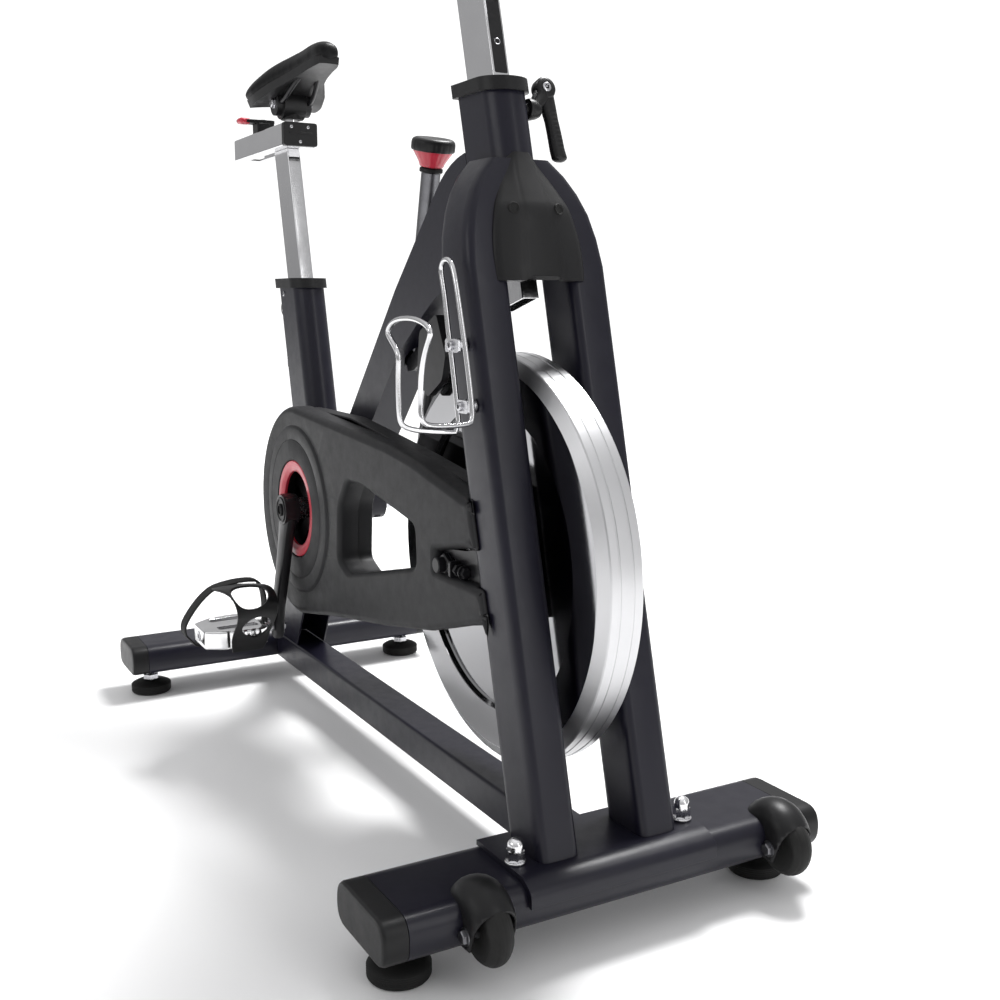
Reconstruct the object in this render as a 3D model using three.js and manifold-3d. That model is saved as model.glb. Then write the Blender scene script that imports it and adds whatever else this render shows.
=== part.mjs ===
// Indoor cycling bike with a belt-driven flywheel, a magnetic brake and telescopic saddle and
// handlebar posts.
// Units are millimetres. X points to the front of the bike, Y to the rider's left and Z up.
// The origin is on the floor, under the middle of the bike.

import * as THREE from 'three';
import { mergeVertices } from 'three/addons/utils/BufferGeometryUtils.js';
import Module from 'manifold-3d';

const wasm = await Module();
wasm.setup();

// ---------------------------------------------------------------- driving dimensions

const gap = 0.3;                    // clearance between pieces that touch
const wall = 3;                     // wall of the steel tubes
const bikeShift = -4.7;             // moves the drawing so that the origin is under the middle

// stabilizers and feet
const stabilizerTop = 89;
const stabilizerBottom = 41;
const frontStabilizer = { x: 498, depth: 119, halfTube: 243, halfLength: 270, footY: 228 };
const rearStabilizer = { x: -504, depth: 103, halfTube: 245, halfLength: 271, footY: 232 };
const footRadius = 32.5;
const plateTop = 95;

// leaning tubes: where each one crosses a stated height, and how far it leans back per millimetre of height
const headLean = 0.27;
const headTube = { x: 282, z: 882, width: 50, depth: 84, bottom: 735, top: 890 };
const seatLean = 0.235;
const seatTube = { x: -344, z: 683, width: 50, depth: 88, bottom: 330, top: 685 };
const post = { width: 21, depth: 62, wall: 2, bore: 1.8 };
const beam = { width: 50, bottom: 44, top: 89 };

// fork legs
const leg = { bottomX: 499, y: 62, depth: 70, width: 49, lean: 0.254 };

// crank set
const crank = { x: -146, z: 357, length: 180, angle: THREE.MathUtils.degToRad(8) };
const crankInner = 94;
const crankOuter = 114;
const crankFlare = 13;                // how much further out the pedal end of a crank lies

// flywheel and belt
const flywheel = { x: 318, z: 363, radius: 235 };
const bigPulleyRadius = 118;
const smallPulleyRadius = 40;
const beltY = -62;
const beltWidth = 14;
const beltThickness = 2.5;

// belt guard, as seen from the right side
const guardOuter = -90;
const guardJoint = -64;
const guardInner = -42;
const guardWall = 3;

// seat slider and saddle
const slider = { rear: -589, front: -346, bottom: 892.5, top: 927, halfWidth: 27.5 };

// handlebar
const carriage = { rear: 158, front: 330, bottom: 1006, top: 1040 };
const barZ = 1078;

// ---------------------------------------------------------------- finishes

const finish = (color, roughness, metalness) => new THREE.MeshStandardMaterial({ color, roughness,
  metalness });
const framePaint = finish(0x2f2f33, 0.42, 0.35);
const blackPlastic = finish(0x1d1d1f, 0.5, 0);
const greyPlastic = finish(0x3a3b3d, 0.6, 0);
const redPlastic = finish(0xb02a3c, 0.4, 0);
const rubber = finish(0x19191a, 0.85, 0);
const chrome = finish(0xd9dadc, 0.12, 1);
const steel = finish(0xb9babc, 0.25, 1);
const castAlloy = finish(0xb4b6b8, 0.35, 0.9);
const saddleVinyl = finish(0x1b1b1c, 0.55, 0);

// ---------------------------------------------------------------- solids

function solidFrom(geometry) {
  const bare = geometry.clone();
  bare.deleteAttribute('normal');
  bare.deleteAttribute('uv');
  const welded = mergeVertices(bare, 1e-3);
  return new wasm.Manifold(new wasm.Mesh({
    numProp: 3,
    vertProperties: new Float32Array(welded.attributes.position.array),
    triVerts: new Uint32Array(welded.index.array),
  }));
}

function geometryFrom(solid) {
  const mesh = solid.getMesh();
  const geometry = new THREE.BufferGeometry();
  geometry.setAttribute('position', new THREE.BufferAttribute(mesh.vertProperties, 3));
  geometry.setIndex(new THREE.BufferAttribute(mesh.triVerts, 1));
  geometry.computeVertexNormals();
  return geometry;
}

const cut = (body, ...tools) => geometryFrom(
  tools.reduce((left, tool) => left.subtract(solidFrom(tool)), solidFrom(body)));
const join = (body, ...others) => geometryFrom(
  others.reduce((whole, other) => whole.add(solidFrom(other)), solidFrom(body)));

const bike = new THREE.Group();
bike.position.x = bikeShift;

function addPiece(name, geometry, material) {
  const mesh = new THREE.Mesh(geometry, material);
  mesh.name = name;
  bike.add(mesh);
  return mesh;
}

// ---------------------------------------------------------------- outlines and basic shapes

// A closed outline from corners [a, b, rounding]; each corner is rounded by a curve.
function outline(corners, rounding = 0) {
  const shape = new THREE.Shape();
  corners.forEach(([a, b, radius = rounding], i) => {
    const corner = new THREE.Vector2(a, b);
    const before = new THREE.Vector2(...corners.at(i - 1));
    const after = new THREE.Vector2(...corners[(i + 1) % corners.length]);
    const start = corner.clone().add(before.sub(corner).setLength(radius));
    const end = corner.clone().add(after.sub(corner).setLength(radius));
    if (i === 0) {
      shape.moveTo(start.x, start.y);
    } else {
      shape.lineTo(start.x, start.y);
    }
    if (radius > 0) {
      shape.quadraticCurveTo(corner.x, corner.y, end.x, end.y);
    }
  });
  shape.closePath();
  return shape;
}

function rectangle(a0, a1, b0, b1, rounding = 0) {
  return outline([[a0, b0], [a1, b0], [a1, b1], [a0, b1]], rounding);
}

function withHoles(shape, ...holes) {
  shape.holes.push(...holes);
  return shape;
}

// The outline of a strip of even thickness along a smooth path in its plane.
function band(path, thickness, steps) {
  const curve = new THREE.SplineCurve(path.map(([a, b]) => new THREE.Vector2(a, b)));
  const side = (sign) => Array.from({ length: steps + 1 }, (_, i) => {
    const tangent = curve.getTangent(i / steps);
    const normal = new THREE.Vector2(-tangent.y, tangent.x).multiplyScalar((sign * thickness) / 2);
    return curve.getPoint(i / steps).add(normal);
  });
  return new THREE.Shape([...side(1), ...side(-1).reverse()]);
}

// Shrinks an outline towards its inside by a distance, point by point along the mean normals.
function insetPoints(shape, distance, curveSegments) {
  const points = shape.extractPoints(curveSegments).shape;
  const clean = points.filter((p, i) => p.distanceTo(points.at(i - 1)) > 0.01);
  const sign = THREE.ShapeUtils.area(clean) > 0 ? 1 : -1;
  return clean.map((p, i) => {
    const before = clean.at(i - 1);
    const after = clean[(i + 1) % clean.length];
    const edgeIn = p.clone().sub(before).normalize();
    const edgeOut = after.clone().sub(p).normalize();
    const normal = new THREE.Vector2(-(edgeIn.y + edgeOut.y), edgeIn.x + edgeOut.x).normalize();
    const scale = 1 / Math.max(0.5, Math.sqrt((1 + edgeIn.dot(edgeOut)) / 2));
    return p.clone().addScaledVector(normal, sign * distance * scale);
  });
}
const insetShape = (shape, distance, curveSegments = 6) => new THREE.Shape(insetPoints(shape, distance,
  curveSegments));

function extruded(shape, depth, curveSegments) {
  return new THREE.ExtrudeGeometry(shape, { depth, bevelEnabled: false, curveSegments });
}

// Side-view outline (x, z) given thickness from y0 to y1.
function sidePrism(shape, y0, y1, curveSegments = 6) {
  return extruded(shape, y1 - y0, curveSegments).rotateX(Math.PI / 2).translate(0, y1, 0);
}

// Plan outline (x, y) given height from z0 to z1.
function planPrism(shape, z0, z1, curveSegments = 6) {
  return extruded(shape, z1 - z0, curveSegments).translate(0, 0, z0);
}

// Front-view outline (y, z) given thickness from x0 to x1.
function frontPrism(shape, x0, x1, curveSegments = 6) {
  const turn = new THREE.Matrix4().makeBasis(
    new THREE.Vector3(0, 1, 0), new THREE.Vector3(0, 0, 1), new THREE.Vector3(1, 0, 0));
  return extruded(shape, x1 - x0, curveSegments).applyMatrix4(turn).translate(x0, 0, 0);
}

function box(x0, x1, y0, y1, z0, z1) {
  const geometry = new THREE.BoxGeometry(x1 - x0, y1 - y0, z1 - z0);
  return geometry.translate((x0 + x1) / 2, (y0 + y1) / 2, (z0 + z1) / 2);
}

function upright(radius, x, y, z0, z1, sides = 20, topRadius = radius) {
  const geometry = new THREE.CylinderGeometry(topRadius, radius, z1 - z0, sides);
  return geometry.rotateX(Math.PI / 2).translate(x, y, (z0 + z1) / 2);
}

function crosswise(radius, x, z, y0, y1, sides = 20) {
  return new THREE.CylinderGeometry(radius, radius, y1 - y0, sides).translate(x, (y0 + y1) / 2, z);
}

function lengthwise(radius, y, z, x0, x1, sides = 20) {
  const geometry = new THREE.CylinderGeometry(radius, radius, x1 - x0, sides);
  return geometry.rotateZ(Math.PI / 2).translate((x0 + x1) / 2, y, z);
}

// A body of revolution about a crosswise axis; the profile is [radius, y] pairs, closed on itself.
function turnedCrosswise(profile, x, z, sides) {
  const points = [...profile, profile[0]].map(([radius, y]) => new THREE.Vector2(radius, y));
  return new THREE.LatheGeometry(points, sides).translate(x, 0, z);
}

// A body of revolution about an upright axis through (0, 0); the profile starts and ends on the axis.
function turnedUpright(profile, sides) {
  const points = profile.map(([radius, z]) => new THREE.Vector2(radius, z));
  return new THREE.LatheGeometry(points, sides).rotateX(Math.PI / 2);
}

// A closed skin over rings of points; every ring has the same number of points, in the same order.
function loft(rings) {
  const count = rings[0].length;
  const centre = (ring) => ring.reduce((sum, p) => sum.add(p), new THREE.Vector3()).divideScalar(count);
  const points = [...rings.flat(), centre(rings[0]), centre(rings.at(-1))];
  const firstCentre = rings.length * count;
  const index = [];
  rings.forEach((ring, r) => ring.forEach((_, i) => {
    const next = (i + 1) % count;
    const a = r * count + i;
    const b = r * count + next;
    if (r < rings.length - 1) {
      index.push(a, b, b + count, a, b + count, a + count);
    }
    if (r === 0) {
      index.push(firstCentre, b, a);
    }
    if (r === rings.length - 1) {
      index.push(firstCentre + 1, a, b);
    }
  }));
  const geometry = new THREE.BufferGeometry().setFromPoints(points);
  geometry.setIndex(index);
  geometry.computeVertexNormals();
  return geometry;
}

// A superellipse ring in the horizontal plane, counter-clockwise seen from above.
function ovalRing(x, y, z, halfX, halfY, power = 2.6, count = 20) {
  return Array.from({ length: count }, (_, i) => {
    const angle = (2 * Math.PI * i) / count;
    const cos = Math.cos(angle);
    const sin = Math.sin(angle);
    const squash = (value) => Math.sign(value) * Math.abs(value) ** (2 / power);
    return new THREE.Vector3(x + halfX * squash(cos), y + halfY * squash(sin), z);
  });
}

// A round wire or rod along a smooth path.
function wire(points, radius, steps, sides = 8, tension = 0.15) {
  const path = new THREE.CatmullRomCurve3(points.map((p) => new THREE.Vector3(...p)), false, 'catmullrom',
    tension);
  const section = new THREE.Shape();
  for (let i = 0; i < sides; i += 1) {
    const angle = (2 * Math.PI * i) / sides;
    section[i === 0 ? 'moveTo' : 'lineTo'](radius * Math.cos(angle), radius * Math.sin(angle));
  }
  return new THREE.ExtrudeGeometry(section, { steps, extrudePath: path, bevelEnabled: false });
}

const mirrored = (geometry) => {
  const flipped = geometry.index ? geometry.toNonIndexed() : geometry.clone();
  const position = flipped.attributes.position;
  for (let i = 0; i < position.count; i += 3) {
    const first = new THREE.Vector3().fromBufferAttribute(position, i);
    const second = new THREE.Vector3().fromBufferAttribute(position, i + 1);
    position.setXYZ(i, second.x, -second.y, second.z);
    position.setXYZ(i + 1, first.x, -first.y, first.z);
    position.setY(i + 2, -position.getY(i + 2));
  }
  flipped.computeVertexNormals();
  return flipped;
};

// ---------------------------------------------------------------- leaning tubes

// D-shaped section: flat at the back, round at the front; grown or shrunk by offset.
function sleeveSection(tube, offset = 0) {
  const half = tube.width / 2 + offset;
  const rear = -tube.depth / 2 - offset;
  const shoulder = tube.depth / 2 - tube.width / 2;
  const shape = new THREE.Shape();
  const corner = 5;
  shape.moveTo(rear, half - corner);
  shape.lineTo(rear, -half + corner);
  shape.quadraticCurveTo(rear, -half, rear + corner, -half);
  shape.lineTo(shoulder, -half);
  shape.absarc(shoulder, 0, half, -Math.PI / 2, Math.PI / 2);
  shape.lineTo(rear + corner, half);
  shape.quadraticCurveTo(rear, half, rear, half - corner);
  return shape;
}

const postSection = (offset = 0) => rectangle(
  -post.depth / 2 - offset, post.depth / 2 + offset, -post.width / 2 - offset, post.width / 2 + offset, 2);

// Extrudes a plan section upwards between two heights while sliding it back with the lean.
function leaningPrism(shape, tube, lean, z0, z1, curveSegments = 8) {
  const geometry = extruded(shape, z1 - z0, curveSegments).translate(0, 0, z0);
  const position = geometry.attributes.position;
  for (let i = 0; i < position.count; i += 1) {
    position.setX(i, position.getX(i) + tube.x - lean * (position.getZ(i) - tube.z));
  }
  geometry.computeVertexNormals();
  return geometry;
}

const headSolid = (offset = 0) => leaningPrism(
  sleeveSection(headTube, offset), headTube, headLean, headTube.bottom - offset, headTube.top + offset);
const seatSolid = (offset = 0) => leaningPrism(
  sleeveSection(seatTube, offset), seatTube, seatLean, seatTube.bottom - offset, seatTube.top + offset);
const headAxisX = (z) => headTube.x - headLean * (z - headTube.z);
const seatAxisX = (z) => seatTube.x - seatLean * (z - seatTube.z);

// ---------------------------------------------------------------- stabilizers, end caps, feet

function stabilizerOutline(foot, inset = 0) {
  const half = foot.depth / 2 - inset;
  const top = stabilizerTop - inset;
  const bottom = stabilizerBottom + inset;
  const flat = foot.depth / 2 - 21;
  const middle = (top + bottom) / 2;
  const shape = new THREE.Shape();
  shape.moveTo(foot.x - flat, bottom);
  shape.lineTo(foot.x + flat, bottom);
  shape.quadraticCurveTo(foot.x + half, bottom, foot.x + half, middle);
  shape.quadraticCurveTo(foot.x + half, top, foot.x + flat, top);
  shape.lineTo(foot.x - flat, top);
  shape.quadraticCurveTo(foot.x - half, top, foot.x - half, middle);
  shape.quadraticCurveTo(foot.x - half, bottom, foot.x - flat, bottom);
  return shape;
}

function stabilizerTube(foot) {
  const section = withHoles(stabilizerOutline(foot), stabilizerOutline(foot, wall));
  return sidePrism(section, -foot.halfTube, foot.halfTube, 6);
}

// The end cap plugs into the tube and its outer edge is rounded over.
function endCap(foot, side) {
  const face = foot.halfTube + gap;
  const ringAt = (y, inset) => {
    const points = stabilizerOutline(foot, inset).extractPoints(6).shape.slice(0, -1);
    return points.map((p) => new THREE.Vector3(p.x, y, p.y)).reverse();
  };
  const shell = loft([
    ringAt(face, 0), ringAt(foot.halfLength - 5, 0), ringAt(foot.halfLength - 1.5, 1.5),
      ringAt(foot.halfLength, 5)]);
  const plug = sidePrism(stabilizerOutline(foot, wall + gap), face - 18, face + 2, 3);
  const cap = join(shell, plug);
  return side > 0 ? cap : mirrored(cap);
}

// The transport wheels are the same part on both sides, so each lies to the left of its own bolt.
const wheel = { x: 563, z: 61, radius: 36, halfWidth: 14, boltY: 188, fromBolt: 25 };
const wheelY = (side) => side * wheel.boltY + wheel.fromBolt;

const wheelNotch = (side) => crosswise(
  wheel.radius + 3, wheel.x, wheel.z, wheelY(side) - wheel.halfWidth - 2,
    wheelY(side) + wheel.halfWidth + 2, 18);
const axleNotch = (side) => box(552, wheel.x, wheelY(side) - 24, wheelY(side) + 24, wheel.z - 6, wheel.z + 6);
const footStemHole = (foot, side) => upright(6.3, foot.x, side * foot.footY, 30, 84, 12);
const boltX = 514;
const boltY = 105;
const plateBoltHole = (side) => upright(5.3, boltX, side * boltY, 60, 120, 12);

addPiece('front_stabilizer', cut(
  stabilizerTube(frontStabilizer), wheelNotch(1), wheelNotch(-1), axleNotch(1), axleNotch(-1),
  footStemHole(frontStabilizer, 1), footStemHole(frontStabilizer, -1), plateBoltHole(1),
    plateBoltHole(-1)), framePaint);
addPiece('rear_stabilizer', cut(
  stabilizerTube(rearStabilizer), footStemHole(rearStabilizer, 1), footStemHole(rearStabilizer, -1)),
    framePaint);

// The foot's rubber disc carries a threaded stem that runs up into the stabilizer.
function levellingFoot(foot, side) {
  const stem = 6;
  const profile = [
    [0, 0], [footRadius - 3, 0], [footRadius, 4], [footRadius, 14], [footRadius - 8, 19],
    [14, 21], [14, 32], [stem, 32], [stem, stabilizerTop - wall - 4], [0, stabilizerTop - wall - 4]];
  return turnedUpright(profile, 16).translate(foot.x, side * foot.footY, 0);
}

for (const [place, foot] of [['front', frontStabilizer], ['rear', rearStabilizer]]) {
  for (const [sideName, side] of [['left', 1], ['right', -1]]) {
    const stemRoom = upright(8, foot.x, side * foot.footY, 30, 84, 12);
    addPiece(`${place}_${sideName}_end_cap`, cut(endCap(foot, side), stemRoom, wheelNotch(side)),
      blackPlastic);
    addPiece(`${place}_${sideName}_foot`, levellingFoot(foot, side), rubber);
  }
}

// ---------------------------------------------------------------- fork legs and base plate

const legAxisX = (z) => leg.bottomX - leg.lean * (z - plateTop);

// A leg is a rounded rectangle that grows by offset; near the top it bends inwards to the head tube.
function forkLeg(offset = 0) {
  const stations = [
    [plateTop + gap, 0], [692, 0], [722, 3], [748, 9], [770, 18], [789, 30], [806, 46]];
  const rings = stations.map(([z, inward], i) => {
    const narrowing = i < 2 ? 0 : i - 1;
    return ovalRing(
      legAxisX(z) - Math.max(0, i - 3) * 1.5, leg.y - inward, z + (i === 0 ? -offset : 0),
      leg.depth / 2 + offset - narrowing, leg.width / 2 + offset - narrowing * 0.6, 5.5, 28);
  });
  return loft(rings);
}

// Each leg is a tube, open at its foot.
const legTube = cut(forkLeg(), headSolid(gap), forkLeg(-wall).translate(0, 0, -2 * wall));
addPiece('fork_leg_right', mirrored(legTube), framePaint);
addPiece('fork_leg_left', legTube, framePaint);

// The plate lies on the stabilizer and folds down over its front.
const plateOutline = outline([
  [449, stabilizerTop + gap], [540, stabilizerTop + gap], [559.2, 68], [563, 68, 1], [563, plateTop - 10, 8],
  [545, plateTop, 8], [449, plateTop]]);
addPiece('front_base_plate', cut(
  sidePrism(plateOutline, -115, 115, 4), plateBoltHole(1), plateBoltHole(-1),
  sidePrism(stabilizerOutline(frontStabilizer, -gap), -120, 120, 6)), framePaint);

function domeNut(side) {
  const profile = [
    [0, 70], [5, 70], [5, plateTop + gap], [12, plateTop + gap], [12, 98], [9.5, 98], [9.5, 109], [8.5, 115],
    [5.5, 120], [0, 122]];
  return turnedUpright(profile, 12).translate(boltX, side * boltY, 0);
}
addPiece('base_plate_bolt_right', domeNut(-1), chrome);
addPiece('base_plate_bolt_left', domeNut(1), chrome);

// ---------------------------------------------------------------- transport wheels

// A hood over the top and back of the wheel, with two cheeks that hold the axle bolt.
function wheelHousing(side) {
  const y = wheelY(side);
  const dome = new THREE.SphereGeometry(1, 16, 8).rotateX(Math.PI / 2).scale(44, 27, 46).translate(548, y,
    wheel.z);
  const mouth = box(0, 80, -40, 40, -90, 60).rotateY(THREE.MathUtils.degToRad(32)).translate(573, y, wheel.z);
  const frontTubeRoom = sidePrism(stabilizerOutline(frontStabilizer, -gap), -280, 280, 6);
  const body = cut(
    dome, frontTubeRoom, wheelNotch(side), mouth,
    box(480, 640, -280, 280, 0, 38), box(440, 512, -280, 280, 0, 140));
  const axle = crosswise(4.5, wheel.x, wheel.z, y - wheel.fromBolt, y + 23, 12);
  const boltHead = cut(crosswise(8, wheel.x, wheel.z, y - wheel.fromBolt - 5, y - wheel.fromBolt + 3, 6),
    frontTubeRoom);
  return join(body, axle, boltHead);
}
addPiece('wheel_housing_right', wheelHousing(-1), blackPlastic);
addPiece('wheel_housing_left', wheelHousing(1), blackPlastic);

function transportWheel(side) {
  const half = wheel.halfWidth;
  const profile = [
    [4.9, -half], [wheel.radius - 9, -half], [wheel.radius - 2, -half + 6], [wheel.radius, 0],
    [wheel.radius - 2, half - 6], [wheel.radius - 9, half], [4.9, half]];
  return turnedCrosswise(profile, wheel.x, wheel.z, 18).translate(0, wheelY(side), 0);
}
addPiece('transport_wheel_right', transportWheel(-1), rubber);
addPiece('transport_wheel_left', transportWheel(1), rubber);

// ---------------------------------------------------------------- main frame tubes

const beamRear = rearStabilizer.x + rearStabilizer.depth / 2 + gap;
const beamFront = frontStabilizer.x - frontStabilizer.depth / 2 - gap;
addPiece('floor_beam', frontPrism(withHoles(
  rectangle(-beam.width / 2, beam.width / 2, beam.bottom, beam.top, 5),
  rectangle(-beam.width / 2 + wall, beam.width / 2 - wall, beam.bottom + wall, beam.top - wall, 3)),
  beamRear, beamFront, 3), framePaint);

const headPostAxis = { x: headTube.x - 9, z: headTube.z };
const seatPostAxis = { x: seatTube.x - 9, z: seatTube.z };
const boreFor = (axis, lean, tube) => leaningPrism(
  postSection(post.bore), axis, lean, tube.bottom - 60, tube.top + 20);

const headTubeBody = cut(headSolid(), boreFor(headPostAxis, headLean, headTube));
const headBoltZ = 864;
const headBoltX = headAxisX(headBoltZ) + 20;
const clampBoltHole = crosswise(5.3, headBoltX, headBoltZ, 8, 40, 10);
addPiece('head_tube', cut(headTubeBody, clampBoltHole), framePaint);

const seatTubeBody = cut(seatSolid(), boreFor(seatPostAxis, seatLean, seatTube));
const seatBoltZ = 634;
const seatRear = seatAxisX(seatBoltZ) - seatTube.depth / 2;
const seatTilt = -Math.atan(seatLean);
const seatBoltHole = lengthwise(5.3, 0, 0, -30, 12, 10).rotateY(seatTilt).translate(seatRear, 0, seatBoltZ);
addPiece('seat_tube', cut(seatTubeBody, seatBoltHole), framePaint);

// Plastic collars sit on the mouths of the sleeves and guide the posts.
function collar(tube, axis, lean) {
  const outside = leaningPrism(sleeveSection(tube, 5), tube, lean, tube.top - 10, tube.top + 5);
  const sleeveRoom = leaningPrism(sleeveSection(tube, gap), tube, lean, tube.top - 20, tube.top + gap);
  const postRoom = leaningPrism(postSection(gap), axis, lean, tube.top - 40, tube.top + 20);
  const rim = cut(outside, sleeveRoom);
  const liner = leaningPrism(postSection(post.bore - gap), axis, lean, tube.top - 25, tube.top + 2);
  return cut(join(rim, liner), postRoom);
}
addPiece('head_collar', collar(headTube, headPostAxis, headLean), blackPlastic);
addPiece('seat_collar', collar(seatTube, seatPostAxis, seatLean), blackPlastic);

// Diagonal tube: its side outline flares towards the head tube.
const diagonalOutline = outline([
  [273, 822, 4], [215, 812, 40], [64, 669], [-262, 320], [-200, 302], [61, 576], [77, 592, 20],
  [196, 671, 60],
  [330, 700, 4], [322, 740]]);
const knobAxis = { x: 126, z: 833, lean: -0.235 };
const knobAngle = Math.atan(-knobAxis.lean);
const alongKnob = (geometry) => geometry.rotateY(knobAngle).translate(knobAxis.x, 0, knobAxis.z);
const rodHole = (radius) => alongKnob(upright(radius, 0, 0, -420, 60, 12));

// The crosswise bottom bracket shell is welded under its lower end, with a web back to the seat tube.
const shellHalf = 41;
const bracketShell = crosswise(24, crank.x, crank.z, -shellHalf, shellHalf, 24);
const bracketWeb = sidePrism(outline([[-222, 322], [-130, 336], [-130, 378], [-200, 420], [-236, 420]]),
  26, 34, 2);
// Two lugs under the diagonal tube's front end hold the pivot pin of the brake arm.
const yokePivot = { x: 250, z: 655 };
const lugOutline = outline([[234, 700], [266, 700], [261, 645], [239, 645]], 4);
const yokeLugs = [-1, 1].map((side) => sidePrism(lugOutline, side > 0 ? 9.5 : -13.5,
  side > 0 ? 13.5 : -9.5, 3));
const yokePin = crosswise(4, yokePivot.x, yokePivot.z, -13, 13, 12);
const axleRoom = crosswise(10.5, crank.x, crank.z, -60, 60, 20);
const diagonalShell = cut(
  sidePrism(diagonalOutline, -25, 25, 5), sidePrism(insetShape(diagonalOutline, wall, 5), wall - 25,
    25 - wall, 5));
addPiece('diagonal_tube', cut(
  join(diagonalShell, bracketShell, bracketWeb, ...yokeLugs, yokePin), headSolid(gap),
  seatSolid(gap),
  mirrored(forkLeg(gap)), forkLeg(gap), boreFor(headPostAxis, headLean, headTube), rodHole(13), axleRoom),
    framePaint);

// Rear strut from the bottom bracket area down to the floor beam.
const strutOutline = outline([
  [-300, 330], [-236, 300], [-352, beam.top + gap], [-438, beam.top + gap]]);
const strutTube = cut(sidePrism(strutOutline, -25, 25, 2), sidePrism(strutOutline, wall - 25, 25 - wall, 2)
  .translate(0, 0, -wall * 2));
addPiece('rear_strut', cut(
  strutTube, seatSolid(gap), sidePrism(diagonalOutline, -25.5, 25.5, 5),
  crosswise(24 + gap, crank.x, crank.z, -60, 60, 24)), framePaint);

// ---------------------------------------------------------------- crown cover

// Shroud between the legs under the head tube: a shell with an open arched bottom.
function crownShape(inset) {
  const stations = [[672, 55], [700, 53], [725, 49], [750, 42], [775, 34], [797, 25], [813, 15]];
  const rings = stations.map(([z, half]) => {
    const front = legAxisX(z) + 45 - inset;
    const back = legAxisX(z) - 10;
    const width = half - inset * 0.8;
    const plan = [
      [back, -width], [front - 20, -width], [front - 5, -width * 0.55], [front, -width * 0.2],
      [front, width * 0.2],
      [front - 5, width * 0.55], [front - 20, width], [back, width]];
    return plan.map(([x, y]) => new THREE.Vector3(x, y, z));
  });
  return loft(rings);
}
const crownArch = frontPrism(outline([[-44, 660], [44, 660], [44, 673, 4], [24, 682, 12], [-24, 682, 12],
  [-44, 673, 4]]),
  300, 460, 4);
const crownInside = crownShape(3).translate(-1.5, 0, -3);
addPiece('crown_cover', cut(
  crownShape(0), crownInside, mirrored(forkLeg(gap)), forkLeg(gap), headSolid(gap + 0.7), crownArch,
  box(280, 340, -60, 60, 660, 830)), blackPlastic);

// ---------------------------------------------------------------- posts and collars

// A post is a flat chrome tube whose lower end is cut square to its own axis.
function telescopicPost(axis, lean, bottom, top) {
  const tube = leaningPrism(withHoles(postSection(), postSection(-post.wall)), axis, lean, bottom - 30,
    top, 2);
  const below = box(-80, 80, -40, 40, -90, 0).rotateY(-Math.atan(lean));
  return cut(tube, below.translate(axis.x - lean * (bottom - axis.z), 0, bottom));
}
const headPostBottom = 650;
addPiece('handlebar_post', telescopicPost(headPostAxis, headLean, headPostBottom, carriage.bottom - gap),
  chrome);
const seatPostBottom = 470;
addPiece('seat_post', telescopicPost(seatPostAxis, seatLean, seatPostBottom, slider.bottom - gap), chrome);

// ---------------------------------------------------------------- seat slider, clamp, saddle

const sliderBody = frontPrism(withHoles(
  rectangle(-slider.halfWidth, slider.halfWidth, slider.bottom, slider.top, 3),
  rectangle(-slider.halfWidth + 2.5, slider.halfWidth - 2.5, slider.bottom + 2.5, slider.top - 2.5, 2)),
  slider.rear, slider.front, 3);
const sliderSlot = box(slider.rear + 25, slider.front - 40, -8, 8, slider.bottom - 5, slider.bottom + 8);
const sliderTopSlot = box(slider.rear + 25, slider.rear + 150, -6, 6, slider.top - 8, slider.top + 5);
const stubX = -376;
addPiece('seat_slider', cut(
  join(sliderBody, upright(11, stubX, 0, slider.top - 3, 957, 20)), sliderSlot, sliderTopSlot), chrome);

addPiece('slider_end_cap', frontPrism(
  rectangle(-slider.halfWidth, slider.halfWidth, slider.bottom, slider.top + 1, 4),
  slider.front + gap, slider.front + 10, 3), blackPlastic);

// Saddle clamp: a barrel on the stub with serrated discs on both sides; the saddle tilts about it.
const tiltAxisZ = 960;
const clampBody = join(
  upright(17, stubX, 0, 936, tiltAxisZ + 6, 16),
  crosswise(19, stubX, tiltAxisZ, -28, 28, 20),
  crosswise(24, stubX, tiltAxisZ, -18, 18, 20));
addPiece('saddle_clamp', cut(clampBody, upright(11 + gap, stubX, 0, 930, 957 + gap, 20)), blackPlastic);

// Saddle: a closed cushion from a narrow nose to two wide rear lobes.
function saddleShape() {
  const stations = [
    [-437, 38, 984, 15], [-429, 56, 986, 21], [-410, 66, 990, 27], [-382, 65, 994, 30], [-350, 53, 999, 31],
    [-315, 37, 1004, 29], [-280, 27, 1008, 27], [-245, 22, 1012, 25], [-217, 18, 1014, 21],
    [-203, 12, 1013, 14]];
  const rings = stations.map(([x, half, z, height]) => Array.from({ length: 16 }, (_, i) => {
    const angle = (2 * Math.PI * i) / 16;
    const y = half * Math.cos(angle);
    const up = Math.sin(angle) * height * 0.5;
    const droop = -((y / 66) ** 2) * 13;
    return new THREE.Vector3(x, y, z + up + droop);
  }));
  return loft(rings);
}
addPiece('saddle', cut(
  saddleShape(), crosswise(24.6, stubX, tiltAxisZ, -18.6, 18.6, 20),
    crosswise(19.6, stubX, tiltAxisZ, -29, 29, 20)),
  saddleVinyl);

// ---------------------------------------------------------------- handlebar

const carriageBody = frontPrism(withHoles(
  rectangle(-slider.halfWidth, slider.halfWidth, carriage.bottom, carriage.top, 3),
  rectangle(-slider.halfWidth + 2.5, slider.halfWidth - 2.5, carriage.bottom + 2.5, carriage.top - 2.5, 2)),
  carriage.rear, carriage.front, 3);
const barStem = box(carriage.front - 46, carriage.front - 6, -16, 16, carriage.top - 2, barZ - 10);
const carriageSlot = box(carriage.rear + 20, carriage.front - 70, -6, 6, carriage.top - 8, carriage.top + 5);
addPiece('handlebar_carriage', cut(join(carriageBody, barStem), carriageSlot), chrome);

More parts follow.
